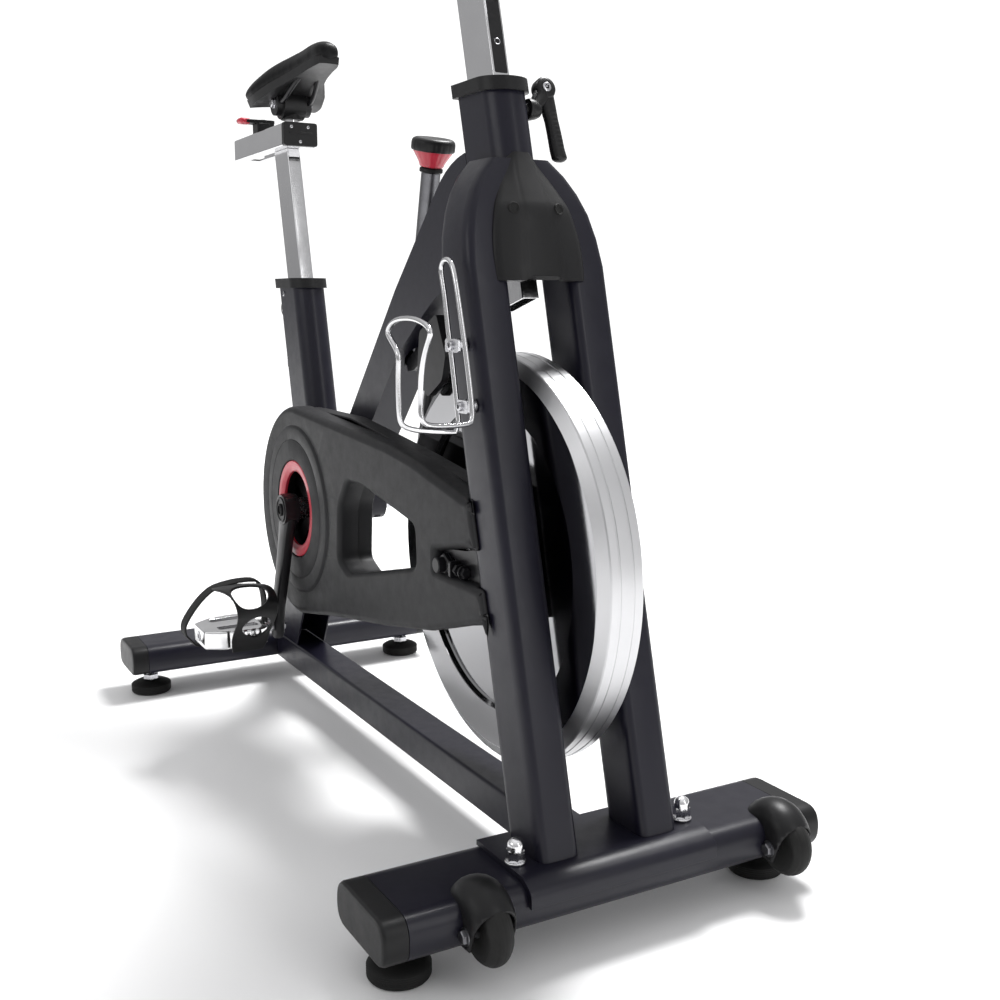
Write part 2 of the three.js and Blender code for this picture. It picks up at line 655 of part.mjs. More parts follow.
// The bar is a loop: two side grips joined at the rear cross bar, with bull horns reaching forward.
const hornHalf = 225;
function barHalf(side) {
  const rise = 34;
  return wire([
    [carriage.front - 26, 0, barZ + 4], [carriage.front - 26, side * 120, barZ + 4],
    [carriage.front - 22, side * (hornHalf - 30), barZ + 6], [carriage.front, side * hornHalf, barZ + 12],
    [carriage.front + 60, side * hornHalf, barZ + 22], [carriage.front + 110, side * (hornHalf - 8),
    barZ + rise + 10],
  ], 14, 14, 8, 0.5);
}
const innerHorns = [1, -1].map((side) => wire([
  [carriage.front - 26, side * 52, barZ + 4], [carriage.front + 30, side * 50, barZ + 8],
  [carriage.front + 92, side * 46, barZ + 26]], 13, 5, 8, 0.5));
addPiece('handlebar', cut(
  join(barHalf(1), barHalf(-1), ...innerHorns),
  box(carriage.front - 46 - gap, carriage.front - 6 + gap, -16 - gap, 16 + gap, 1000, barZ - 10 + gap)),
    rubber);

// ---------------------------------------------------------------- belt guard

const guardOutline = () => {
  const shape = new THREE.Shape();
  const radius = 150;
  const centre = { x: -150, z: 352 };
  shape.moveTo(427, 316);
  shape.lineTo(388, 450);
  shape.lineTo(214, 475);
  shape.lineTo(0, 500);
  shape.absarc(centre.x, centre.z, radius, 1.45, 4.75);
  shape.lineTo(-35, 224);
  shape.lineTo(153, 255);
  shape.lineTo(288, 281);
  shape.closePath();
  return shape;
};

const windowCorners = [[19, 386], [13, 310], [48, 295], [260, 346], [257, 399], [100, 425], [50, 425]];
const windowOutline = (grow) => insetShape(outline(windowCorners, 10), -grow, 3);

function guardHalf(faceY, jointY) {
  const inward = Math.sign(jointY - faceY);
  const yMin = Math.min(faceY, jointY);
  const yMax = Math.max(faceY, jointY);
  const cavityMin = inward > 0 ? yMin + guardWall : yMin - 1;
  const cavityMax = inward > 0 ? yMax + 1 : yMax - guardWall;
  const shell = sidePrism(withHoles(guardOutline(), windowOutline(0)), yMin, yMax, 6);
  const cavity = sidePrism(withHoles(insetShape(guardOutline(), guardWall), windowOutline(guardWall)),
    cavityMin, cavityMax, 6);
  return cut(shell, cavity);
}

const ringRadius = 70;
const axleSlot = sidePrism(outline([[300, 352], [440, 352], [440, 396], [370, 393], [300, 380]], 5),
  guardOuter - 10,
  guardJoint + 1, 3);
const legRoom = mirrored(forkLeg(0.5));
const disc = turnedCrosswise([
  [ringRadius + 12, guardOuter - 5], [119, guardOuter - 5], [124, guardOuter], [124, guardOuter + 1],
  [ringRadius + 12, guardOuter + 1]], crank.x + 6, crank.z, 28);
const discCentre = turnedCrosswise([
  [ringRadius + gap, guardOuter - 5], [96, guardOuter - 5], [96, guardOuter + 1],
  [ringRadius + gap, guardOuter + 1]],
  crank.x, crank.z, 28);
addPiece('guard_outer', cut(
  join(cut(guardHalf(guardOuter, guardJoint - gap), crosswise(ringRadius + gap, crank.x, crank.z, -100,
    -60, 28)),
    disc, discCentre),
  axleSlot, legRoom), greyPlastic);
addPiece('guard_ring', turnedCrosswise([
  [54, guardOuter - 1], [60, guardOuter - 4], [ringRadius, guardOuter - 4], [ringRadius, guardOuter + 3],
  [54, guardOuter + 3]], crank.x, crank.z, 28), redPlastic);
addPiece('guard_inner', cut(
  guardHalf(guardInner, guardJoint), crosswise(28, crank.x, crank.z, -70, -30, 28),
  sidePrism(outline([[290, 345], [440, 345], [440, 395], [290, 395]], 5), -70, -30, 3), legRoom),
    greyPlastic);

// ---------------------------------------------------------------- crank set

const axleHalf = 92;
addPiece('crank_axle', join(
  crosswise(10, crank.x, crank.z, -axleHalf, axleHalf, 20),
  crosswise(16, crank.x, crank.z, -axleHalf, -shellHalf - 2, 20)), steel);

function spokedPulley() {
  const half = beltWidth / 2 + 2;
  const rim = turnedCrosswise([
    [bigPulleyRadius - 10, beltY - half], [bigPulleyRadius, beltY - half], [bigPulleyRadius, beltY + half],
    [bigPulleyRadius - 10, beltY + half]], crank.x, crank.z, 28);
  const hub = turnedCrosswise([[16 + gap, beltY - 6], [30, beltY - 6], [30, beltY + 6],
    [16 + gap, beltY + 6]],
    crank.x, crank.z, 20);
  const spokes = [0, 1, 2, 3, 4].map((i) => box(20, bigPulleyRadius - 4, beltY - 4, beltY + 4, -11, 11)
    .rotateY(-crank.angle + (i * 2 * Math.PI) / 5).translate(crank.x, 0, crank.z));
  return cut(join(rim, hub, ...spokes), crosswise(16 + gap, crank.x, crank.z, -90, -30, 20));
}
addPiece('drive_pulley', spokedPulley(), blackPlastic);

// One crank arm, drawn hanging straight down on the right side and then turned about the crank axle.
function crankArm(side) {
  const middle = -(crankInner + crankOuter) / 2;
  const stations = [
    [20, 14, 10, 0], [8, 20, 10, 0], [-14, 19, 10, 0], [-40, 15, 9, 0.2], [-100, 13, 8.5, 0.55],
    [-145, 12.5, 8, 0.9],
    [-168, 14, 8, 1], [-188, 14, 8, 1], [-197, 9, 7, 1]];
  const ringAt = ([z, halfX, halfY, flare]) => ovalRing(0, middle - crankFlare * flare, z, halfX, halfY,
    3.4, 12);
  const arm = loft(stations.map(ringAt).reverse());
  const boss = crosswise(22, 0, 0, -crankOuter - 1, -crankInner + 1, 16);
  const whole = cut(join(arm, boss), crosswise(10 + gap, 0, 0, -axleHalf - gap, -80, 16),
    crosswise(7, 0, -crank.length, -150, -80, 12));
  const placed = whole.rotateY(crank.angle);
  const sided = side < 0 ? placed : mirrored(placed.rotateY(Math.PI));
  return sided.translate(crank.x, 0, crank.z);
}
addPiece('crank_right', crankArm(-1), framePaint);
addPiece('crank_left', crankArm(1), framePaint);

const pedalCentre = (side) => ({
  x: crank.x + side * crank.length * Math.sin(crank.angle),
  z: crank.z + side * crank.length * Math.cos(crank.angle),
});

// Pedal body: a frame with two cross slots, on a stub axle that screws into the crank.
const pedalInner = -141.5;
const pedalOuter = -237;
const pedalHalfHeight = 14;
function pedalBody(side) {
  const frame = planPrism(withHoles(
    outline([
      [-44, pedalInner], [44, pedalInner], [50, -165], [48, -196], [30, pedalOuter], [-26, pedalOuter],
      [-46, -204],
      [-50, -165]], 8),
    rectangle(-36, -15, -208, -151, 4), rectangle(15, 36, -208, -151, 4)), -pedalHalfHeight,
      pedalHalfHeight, 3);
  const spindle = crosswise(6.4, 0, 0, -150, -crankInner - crankFlare + 1, 12);
  const barrel = crosswise(13, 0, 0, pedalOuter + 4, -139, 12);
  const whole = join(frame, barrel, spindle);
  const sided = side < 0 ? whole : mirrored(whole);
  const { x, z } = pedalCentre(side);
  return sided.translate(x, 0, z);
}
addPiece('pedal_right', pedalBody(-1), castAlloy);
addPiece('pedal_left', pedalBody(1), castAlloy);

// Toe clip: a cage that rises from the front of the pedal and reaches back over the foot, with its strap.
function toeClip(side) {
  const cagePath = [[51.9, -13], [54.5, 8], [74, 31], [92, 52], [86, 72], [58, 77], [-9, 68]];
  const strapPath = [
    [-240, -9], [-248, 0], [-261, 19], [-250, 40], [-228, 58], [-204, 66], [-162, 68.5], [-143, 62],
    [-137, 40],
    [-137.3, 15.5]];
  const cage = cut(
    sidePrism(band(cagePath, 3, 10), -218, -148),
    lengthwise(14, -174, 33, 56, 120, 16), upright(15, 52, -184, 40, 100, 16),
      box(40, 90, -230, -204, -20, 34));
  const strap = frontPrism(band(strapPath, 2.6, 14), -9, 9);
  const pedalRoom = box(-60, 50.4, pedalOuter - gap, pedalInner + gap, -pedalHalfHeight - gap,
    pedalHalfHeight + gap);
  const whole = cut(join(cage, strap), pedalRoom);
  const sided = side < 0 ? whole : mirrored(whole);
  const { x, z } = pedalCentre(side);
  return sided.translate(x, 0, z);
}
addPiece('toe_clip_right', toeClip(-1), blackPlastic);
addPiece('toe_clip_left', toeClip(1), blackPlastic);

// ---------------------------------------------------------------- flywheel, axle, belt

// The polished right face is closed by a web; the left side is an open dish inside the heavy rim.
const flywheelSides = 32;
addPiece('flywheel', turnedCrosswise([
  [10.6, -34], [30, -34], [30, -24], [173, -24], [174, -27], [220, -27], [flywheel.radius, -19],
  [flywheel.radius, 19],
  [220, 27], [208, 27], [204, -15], [34, -15], [34, 34], [10.6, 34]], flywheel.x, flywheel.z,
  flywheelSides), steel);

const smallHalf = beltWidth / 2 + 2;
addPiece('flywheel_pulley', turnedCrosswise([
  [10.6, beltY - smallHalf], [smallPulleyRadius + 3, beltY - smallHalf],
  [smallPulleyRadius + 3, beltY - smallHalf + 1.5],
  [smallPulleyRadius, beltY - smallHalf + 1.5], [smallPulleyRadius, beltY + smallHalf],
  [18, beltY + smallHalf], [18, -34 - gap], [10.6, -34 - gap]], flywheel.x, flywheel.z, 18), steel);

// Belt: the band between two offset copies of the pulley outline.
function beltLoop(offset) {
  const distance = flywheel.x - crank.x;
  const drop = flywheel.z - crank.z;
  const span = Math.hypot(distance, drop);
  const tilt = Math.atan2(drop, distance);
  const wrap = Math.acos((bigPulleyRadius - smallPulleyRadius) / span);
  const shape = new THREE.Shape();
  shape.absarc(crank.x, crank.z, bigPulleyRadius + offset, tilt + wrap, tilt - wrap + 2 * Math.PI);
  shape.absarc(flywheel.x, flywheel.z, smallPulleyRadius + offset, tilt - wrap, tilt + wrap);
  shape.closePath();
  return shape;
}
const beltLift = 0.9;
const beltSection = withHoles(beltLoop(beltLift + beltThickness), beltLoop(beltLift));
addPiece('drive_belt', sidePrism(beltSection, beltY - beltWidth / 2, beltY + beltWidth / 2, 15),
  rubber);

const bracketY = 76;
function axleBracket(side) {
  const profile = outline([
    [300, flywheel.z - 15], [360, 349], [440, 335], [440, 405], [360, 385], [300, flywheel.z + 15]], 6);
  const plate = sidePrism(profile, side * bracketY - 3, side * bracketY + 3, 3);
  const slot = sidePrism(rectangle(
    flywheel.x - 11, flywheel.x + 18, flywheel.z - 9.3, flywheel.z + 9.3, 6), side * bracketY - 8,
      side * bracketY + 8, 3);
  return cut(plate, slot, side > 0 ? forkLeg(gap) : mirrored(forkLeg(gap)));
}
addPiece('axle_bracket_right', axleBracket(-1), framePaint);
addPiece('axle_bracket_left', axleBracket(1), framePaint);

const nutFace = bracketY + 3 + gap;
const axleEnd = [-1, 1].map((side) => crosswise(
  14, flywheel.x, flywheel.z, side > 0 ? nutFace : -nutFace - 7, side > 0 ? nutFace + 7 : -nutFace, 6));
addPiece('flywheel_axle', join(
  crosswise(8.9, flywheel.x, flywheel.z, -96, 96, 20), ...axleEnd), steel);

// ---------------------------------------------------------------- magnetic brake

const rodEnd = { x: 66, z: 583 };
const rodLength = Math.hypot(knobAxis.x - rodEnd.x, knobAxis.z - rodEnd.z) - 8;
addPiece('brake_rod', alongKnob(turnedUpright([
  [0, -rodLength], [5, -rodLength], [5, -rodLength + 40], [12, -rodLength + 44], [12, -22.3], [0, -22.3]],
  12)), blackPlastic);
addPiece('resistance_knob', alongKnob(turnedUpright([
  [0, -22], [16, -22], [18, -14], [26, -3], [27, 4], [27, 13], [24, 18], [12, 20], [0, 20]], 20)),
  redPlastic);

// Brake arm: pivots near the crown, is pressed down by the rod, and carries magnets on both sides of the rim.
const armBar = sidePrism(outline([
  [yokePivot.x + 10, yokePivot.z + 4, 6], [yokePivot.x - 4, yokePivot.z + 11, 6], [170, 634],
  [rodEnd.x - 8, 578],
  [rodEnd.x - 3, 564], [rodEnd.x + 14, 566], [176, 612], [yokePivot.x + 4, yokePivot.z - 11, 6]]), -8, 8, 3);
const magnetOutline = outline([[168, 618], [214, 640], [238, 592], [228, 562], [190, 540], [160, 560]], 5);
const cheeks = sidePrism(magnetOutline, -41, 41, 3);
const rimRoom = crosswise(flywheel.radius + 7, flywheel.x, flywheel.z, -32, 32, flywheelSides);
addPiece('brake_yoke', cut(
  join(armBar, cut(cheeks, rimRoom)), crosswise(4.3, yokePivot.x, yokePivot.z, -50, 50, 12)), blackPlastic);

// ---------------------------------------------------------------- clamp levers

// An adjustable clamping lever: hub, bent handle and a threaded stud; drawn pointing down with the
// stud along -Y.
function clampLever(reach, drop, studLength) {
  const hub = crosswise(12, 0, 0, 0, reach, 16);
  const stud = crosswise(5, 0, 0, -studLength, 1, 10);
  const handle = loft([
    ovalRing(0, reach + 4, -drop, 5, 4, 2.2, 12), ovalRing(0, reach + 5, -drop + 5, 8, 6, 2.2, 12),
    ovalRing(0, reach + 3, -drop * 0.6, 9, 7, 2.2, 12), ovalRing(0, reach - 1, -drop * 0.3, 9, 7, 2.2, 12),
    ovalRing(0, reach - 6, -6, 12, 9, 2.2, 12), ovalRing(0, reach - 8, 12, 11, 8, 2.2, 12),
    ovalRing(0, reach - 8, 22, 8, 6, 2.2, 12)]);
  return join(hub, stud, handle);
}
addPiece('head_clamp_lever', clampLever(34, 56, 12).rotateY(-0.3)
  .translate(headBoltX, headTube.width / 2 + gap, headBoltZ), blackPlastic);
addPiece('seat_clamp_lever', clampLever(30, 92, 2.9).rotateZ(Math.PI / 2).rotateY(seatTilt)
  .translate(seatRear - gap, 0, seatBoltZ), blackPlastic);

// Quarter-turn levers that lock the two sliders; the handle points to one side.
function sliderLever(x, z, side) {
  const bracket = box(-18, 18, -15, 15, 0, 20);
  const handle = planPrism(outline([[-18, -16], [-12, 46], [12, 46], [18, -16]], 6), 19, 26, 3);
  const tip = planPrism(outline([[-12, 34], [-11, 60], [11, 60], [12, 34]], 5), 17.5, 27.5, 3);
  const stud = upright(5, 0, 0, -24, 2, 12);
  const whole = join(bracket, handle, tip, stud);
  return (side > 0 ? whole : whole.rotateZ(Math.PI)).translate(x, 0, z);
}
addPiece('seat_slider_lever', sliderLever(-514, slider.top + gap, -1), blackPlastic);
addPiece('handlebar_slider_lever', sliderLever(208, carriage.top + gap, -1), blackPlastic);

// ---------------------------------------------------------------- bottle cage

const cageBack = -102;
const cageFront = -166;
const cageTabs = [[376, 609], [396, 547]].flatMap(([x, z]) => [
  box(x - 17, x + 17, cageBack - 2, cageBack + 2, z - 8, z + 8),
  crosswise(8, x, z, cageBack - 5, -leg.y - leg.width / 2 - gap, 12)]);
addPiece('bottle_cage', join(
  wire([
    [389, cageBack, 531], [386, cageBack, 545], [374, cageBack, 599], [368, cageBack, 620],
    [357, cageBack, 668],
    [350, cageBack, 686], [357, cageBack, 697], [372, cageBack, 696], [382, cageBack, 682],
    [397, cageBack, 633],
    [407, cageBack, 599], [420, cageBack, 544], [422, cageBack - 3, 534], [424, cageBack - 10, 531],
    [432, cageFront + 8, 532], [434, cageFront, 541], [431, cageFront, 551], [434, cageFront, 587],
    [446, cageFront, 611], [456, cageFront, 624], [447, cageFront, 632], [416, cageFront, 638],
    [375, cageFront, 636], [357, cageFront, 627], [357, cageFront, 620], [372, cageFront, 610],
    [382, cageFront, 600], [380, cageFront, 584], [381, cageFront, 547], [384, cageFront + 6, 533],
    [384, cageBack - 8, 526], [379, cageBack, 526]], 3, 58, 5, 0.4),
  ...cageTabs,
  wire([[379, cageBack, 526], [392, cageBack, 530]], 3, 2, 6)), chrome);

export default bike;
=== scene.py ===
"""Looks of an indoor cycling bike: its materials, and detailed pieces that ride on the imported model."""

import math

import bmesh
import bpy
from mathutils import Matrix, Vector


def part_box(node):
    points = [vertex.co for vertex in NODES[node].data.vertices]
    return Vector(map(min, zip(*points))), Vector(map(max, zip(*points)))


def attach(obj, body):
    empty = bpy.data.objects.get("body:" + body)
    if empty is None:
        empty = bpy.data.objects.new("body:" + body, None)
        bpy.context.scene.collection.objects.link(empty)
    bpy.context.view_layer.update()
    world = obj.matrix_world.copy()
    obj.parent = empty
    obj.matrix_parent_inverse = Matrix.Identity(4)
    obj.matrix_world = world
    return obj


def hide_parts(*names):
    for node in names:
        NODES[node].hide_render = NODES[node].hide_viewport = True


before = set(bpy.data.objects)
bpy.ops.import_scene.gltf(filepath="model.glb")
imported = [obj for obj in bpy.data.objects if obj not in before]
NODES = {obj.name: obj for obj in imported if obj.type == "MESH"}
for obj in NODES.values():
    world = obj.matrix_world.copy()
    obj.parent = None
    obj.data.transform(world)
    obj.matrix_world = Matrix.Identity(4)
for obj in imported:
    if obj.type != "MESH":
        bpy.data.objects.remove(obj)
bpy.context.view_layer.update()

MM = 0.001

# The drawing is in millimetres about a point a little behind the frame's origin; its wheel is at WHEEL_X.
wheel_low, wheel_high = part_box("flywheel")
WHEEL_X = 318.0
SHIFT = (wheel_low.x + wheel_high.x) / 2 / MM - WHEEL_X


def at(x, y, z):
    """A point of the drawing, in millimetres, as metres in the frame."""
    return Vector(((x + SHIFT) * MM, y * MM, z * MM))


# ---------------------------------------------------------------- materials

def set_inputs(node, **values):
    """Sets a shader node's input sockets by name, with _ for a space."""
    for key, value in values.items():
        node.inputs[key.replace("_", " ")].default_value = value
    return node


def add_node(tree, kind, **values):
    """A new shader node with its input sockets set."""
    return set_inputs(tree.nodes.new(kind), **values)


def new_material(name):
    """A material with its node tree and its main shader."""
    material = bpy.data.materials.new(name)
    material.use_nodes = True
    return material, material.node_tree, material.node_tree.nodes["Principled BSDF"]


def noise_from(tree, coords, scale, detail, rough):
    node = add_node(tree, "ShaderNodeTexNoise", Scale=scale, Detail=detail, Roughness=rough)
    tree.links.new(coords, node.inputs["Vector"])
    return node.outputs["Fac"]


def remap(tree, value, low, high, source=(0.3, 0.7)):
    """A value carried from the source range to one from low to high."""
    node = add_node(tree, "ShaderNodeMapRange", From_Min=source[0], From_Max=source[1], To_Min=low,
                    To_Max=high)
    tree.links.new(value, node.inputs["Value"])
    return node.outputs["Result"]


def vector_math(tree, operation, vector, other=None):
    """The result of a vector operation; a length is a single number."""
    node = tree.nodes.new("ShaderNodeVectorMath")
    node.operation = operation
    tree.links.new(vector, node.inputs[0])
    if other is not None:
        node.inputs[1].default_value = other
    return node.outputs["Value" if operation == "LENGTH" else "Vector"]


def tinted(tree, factor, dark, light):
    ramp = tree.nodes.new("ShaderNodeValToRGB")
    ramp.color_ramp.elements[0].position = 0.3
    ramp.color_ramp.elements[1].position = 0.7
    ramp.color_ramp.elements[0].color = (*dark, 1)
    ramp.color_ramp.elements[1].color = (*light, 1)
    tree.links.new(factor, ramp.inputs["Fac"])
    return ramp.outputs["Color"]


def surface(name, color, roughness, metallic=0.0, grain=900.0, bump=0.1, depth=0.0002, spread=0.05,
            tint=0.12, blotch=9.0, coat=0.0, cells=False, specular=0.5):
    """A procedural finish: slow colour and gloss changes over a fine grain."""
    material, tree, shader = new_material(name)
    coords = tree.nodes.new("ShaderNodeTexCoord").outputs["Object"]
    slow = noise_from(tree, coords, blotch, 5.0, 0.6)
    dark = [c * (1 - tint) for c in color]
    light = [c * (1 + tint) for c in color]
    tree.links.new(tinted(tree, slow, dark, light), shader.inputs["Base Color"])
    streak = noise_from(tree, coords, blotch * 6, 4.0, 0.65)
    tree.links.new(remap(tree, streak, roughness - spread, roughness + spread), shader.inputs["Roughness"])
    if cells:
        fine = add_node(tree, "ShaderNodeTexVoronoi", Scale=grain)
        tree.links.new(coords, fine.inputs["Vector"])
        height = fine.outputs["Distance"]
    else:
        height = noise_from(tree, coords, grain, 3.0, 0.6)
    relief = add_node(tree, "ShaderNodeBump", Strength=bump, Distance=depth)
    tree.links.new(height, relief.inputs["Height"])
    tree.links.new(relief.outputs["Normal"], shader.inputs["Normal"])
    set_inputs(shader, Metallic=metallic, Coat_Weight=coat, Coat_Roughness=0.25, Specular_IOR_Level=specular)
    return material


def turned_metal(name, color, roughness, centre, lines=2600.0, bump=0.12):
    """Lathe-turned metal: fine rings about a crosswise axis through centre."""
    material = surface(name, color, roughness, 1.0, 600.0, 0.02, spread=0.03, tint=0.04)
    tree = material.node_tree
    shader = tree.nodes["Principled BSDF"]
    coords = tree.nodes.new("ShaderNodeTexCoord").outputs["Object"]
    flat = vector_math(tree, "MULTIPLY", vector_math(tree, "SUBTRACT", coords, centre), (1, 0, 1))
    radius = vector_math(tree, "LENGTH", flat)
    rings = add_node(tree, "ShaderNodeTexNoise", Scale=lines, Detail=3.0)
    rings.noise_dimensions = "1D"
    tree.links.new(radius, rings.inputs["W"])
    relief = add_node(tree, "ShaderNodeBump", Strength=bump, Distance=0.00005)
    tree.links.new(rings.outputs["Fac"], relief.inputs["Height"])
    tree.links.new(relief.outputs["Normal"], shader.inputs["Normal"])
    tree.links.new(remap(tree, rings.outputs["Fac"], roughness - 0.04, roughness + 0.05),
                   shader.inputs["Roughness"])
    return material


wheel_centre = (wheel_low + wheel_high) / 2
PAINT = surface("satin_charcoal_paint", (0.0058, 0.0053, 0.0120), 0.36, 0.0, 1400.0, 0.12, coat=0.11,
                specular=0.28)
DARK_PAINT = surface("satin_black_steel", (0.0070, 0.0068, 0.0080), 0.34, 0.0, 1400.0, 0.12, coat=0.04,
                     specular=0.3)
PLASTIC = surface("black_plastic", (0.0080, 0.0079, 0.0085), 0.40, 0.0, 1700.0, 0.18, tint=0.18,
                  specular=0.26)
GUARD = surface("matte_guard_plastic", (0.0125, 0.0125, 0.0137), 0.50, 0.0, 2200.0, 0.26, tint=0.08,
                specular=0.24)
RED = surface("red_plastic", (0.47, 0.026, 0.048), 0.32, 0.0, 1200.0, 0.08, coat=0.15, tint=0.08)
RUBBER = surface("black_rubber", (0.0095, 0.0095, 0.0092), 0.68, 0.0, 1100.0, 0.35, tint=0.2, specular=0.3)
CHROME = surface("chrome", (0.68, 0.68, 0.69), 0.14, 1.0, 300.0, 0.015, spread=0.03, tint=0.03, blotch=22.0)
STEEL = surface("bright_steel", (0.56, 0.56, 0.58), 0.26, 1.0, 800.0, 0.08, spread=0.06, tint=0.1,
                blotch=60.0)
ZINC = surface("dull_zinc", (0.17, 0.17, 0.18), 0.36, 1.0, 900.0, 0.10, spread=0.06, tint=0.12, blotch=60.0)
ALLOY = surface("cast_aluminium", (0.84, 0.84, 0.85), 0.20, 1.0, 1300.0, 0.08, spread=0.05, tint=0.05,
                blotch=40.0)
VINYL = surface("saddle_cover", (0.0045, 0.0045, 0.0050), 0.42, 0.0, 900.0, 0.3, 0.0004, tint=0.2,
                cells=True, specular=0.16)
FOAM = surface("handlebar_foam", (0.0085, 0.0085, 0.0085), 0.66, 0.0, 700.0, 0.5, 0.0004, tint=0.2,
               specular=0.3)
FACE = turned_metal("polished_steel", (0.36, 0.36, 0.37), 0.07, wheel_centre)
RIM = turned_metal("polished_steel_rim", (0.58, 0.58, 0.59), 0.36, wheel_centre, 1200.0, 0.1)


# ---------------------------------------------------------------- building pieces

def angles(count):
    """Equal steps once round a circle."""
    return [2 * math.pi * k / count for k in range(count)]


class Sculpt:
    """Gathers skins over rings of points into one mesh."""

    def __init__(self):
        self.bm = bmesh.new()

    def skin(self, rings, ends=True, loop=False):
        grid = [[self.bm.verts.new(p) for p in ring] for ring in rings]
        pairs = list(zip(grid, grid[1:]))
        if loop:
            pairs.append((grid[-1], grid[0]))
        for lower, upper in pairs:
            for i in range(len(lower)):
                j = (i + 1) % len(lower)
                self.bm.faces.new((lower[i], lower[j], upper[j], upper[i]))
        if ends and not loop:
            self.bm.faces.new(grid[0])
            self.bm.faces.new(grid[-1])
        return self

    def turn(self, profile, place, sides=40, loop=False, bumps=None):
        """A body of revolution; profile is [radius, height] pairs in millimetres along place's own Z."""
        rings = []
        for radius, height in profile:
            ring = []
            for angle in angles(sides):
                grown = radius * (bumps(angle, height) if bumps else 1.0)
                spot = Vector((grown * math.cos(angle), grown * math.sin(angle), height))
                ring.append(place @ (spot * MM))
            rings.append(ring)
        return self.skin(rings, ends=False, loop=loop)

    def prism(self, points, place, low, high):
        """An outline of (u, v) pairs in millimetres in place's own XY, from low to high along its Z."""
        rings = [[place @ (Vector((u, v, h)) * MM) for u, v in points] for h in (low, high)]
        return self.skin(rings)

    def tube(self, path, radius, sides):
        """A round bar along points in metres; radius is in millimetres, or a function of the way along."""
        last = len(path) - 1
        tangents = [(path[min(i + 1, last)] - path[max(i - 1, 0)]).normalized() for i in range(last + 1)]
        side = tangents[0].orthogonal().normalized()
        rings = []
        for i, point in enumerate(path):
            side = (side - tangents[i] * side.dot(tangents[i])).normalized()
            up = tangents[i].cross(side)
            r = (radius(i / last) if callable(radius) else radius) * MM
            rings.append([point + (side * math.cos(a) + up * math.sin(a)) * r for a in angles(sides)])
        return self.skin(rings)

    def cut(self, point, normal):
        """Removes what lies on the normal's side of a plane."""
        geometry = [*self.bm.verts, *self.bm.edges, *self.bm.faces]
        bmesh.ops.bisect_plane(self.bm, geom=geometry, dist=1e-6, plane_co=point, plane_no=normal,
                               clear_outer=True)
        return self

    def make(self, name, body, material, slot=None, bevel=0.0, sharp=35.0, solid=0.0, replaces=()):
        """Turns what was gathered into a piece that rides on a body."""
        bmesh.ops.remove_doubles(self.bm, verts=self.bm.verts, dist=2e-6)
        bmesh.ops.dissolve_degenerate(self.bm, edges=self.bm.edges, dist=1e-7)
        bmesh.ops.recalc_face_normals(self.bm, faces=self.bm.faces)
        mesh = bpy.data.meshes.new(name)
        self.bm.to_mesh(mesh)
        self.bm.free()
        mesh.materials.append(material)
        piece = bpy.data.objects.new(name, mesh)
        bpy.context.scene.collection.objects.link(piece)
        mesh.polygons.foreach_set("use_smooth", [True] * len(mesh.polygons))
        if not bevel:
            mesh.set_sharp_from_angle(angle=math.radians(sharp))
        if solid:
            shell = piece.modifiers.new("wall", "SOLIDIFY")
            shell.thickness = solid * MM
            shell.offset = -1
        if bevel:
            soften(piece, bevel)
        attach(piece, body)
        slot or material.name.split(".")[0]
        if replaces:
            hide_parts(*replaces)
        return piece


def soften(piece, width):
    """Rounds the hard edges and keeps the flats flat."""
    bevel = piece.modifiers.new("edges", "BEVEL")
    bevel.width = width * MM
    bevel.segments = 3
    bevel.limit_method = "ANGLE"
    bevel.angle_limit = math.radians(32)
    bevel.use_clamp_overlap = True
    normals = piece.modifiers.new("flats", "WEIGHTED_NORMAL")
    normals.weight = 60
    normals.keep_sharp = False


def dress(node, material, width):
    """Gives a CAD node its finish and rounds its edges."""
    piece = NODES[node]
    mesh = piece.data
    stored = mesh.attributes.get("custom_normal")
    if stored:
        mesh.attributes.remove(stored)
    mesh.polygons.foreach_set("use_smooth", [True] * len(mesh.polygons))
    mesh.materials.clear()
    mesh.materials.append(material)
    weld = piece.modifiers.new("weld", "WELD")
    weld.merge_threshold = 2e-5
    planar = piece.modifiers.new("planar", "DECIMATE")
    planar.decimate_type = "DISSOLVE"
    planar.angle_limit = math.radians(0.5)
    soften(piece, width)


def along(origin, direction, across=None):
    """A placement at origin whose Z runs along direction and whose X lies nearest to across."""
    z = Vector(direction).normalized()
    x = Vector(across) if across else z.orthogonal()
    x = (x - z * x.dot(z)).normalized()
    y = z.cross(x)
    return Matrix.Translation(origin) @ Matrix((x, y, z)).transposed().to_4x4()


def spline(points, per_span=8):
    """A smooth path through points."""
    last = len(points) - 1
    path = []
    for i in range(last):
        p0, p1, p2, p3 = (points[min(max(i + k, 0), last)] for k in (-1, 0, 1, 2))
        for k in range(per_span):
            t = k / per_span
            path.append(0.5 * ((2 * p1) + (p2 - p0) * t + (2 * p0 - 5 * p1 + 4 * p2 - p3) * t * t
                               + (3 * p1 - p0 - 3 * p2 + p3) * t ** 3))
    return [*path, points[-1]]


def rounded(corners, radius, steps=6):
    """A closed outline with its corners rounded; a corner is (u, v) or (u, v, radius)."""
    points = []
    for i, corner in enumerate(corners):
        here = Vector(corner[:2])
        r = corner[2] if len(corner) > 2 else radius
        before = (Vector(corners[i - 1][:2]) - here).normalized() * r
        after = (Vector(corners[(i + 1) % len(corners)][:2]) - here).normalized() * r
        for k in range(steps + 1):
            t = k / steps
            points.append(here + before * (1 - t) ** 2 + after * t ** 2)
    return [(p.x, p.y) for p in points]


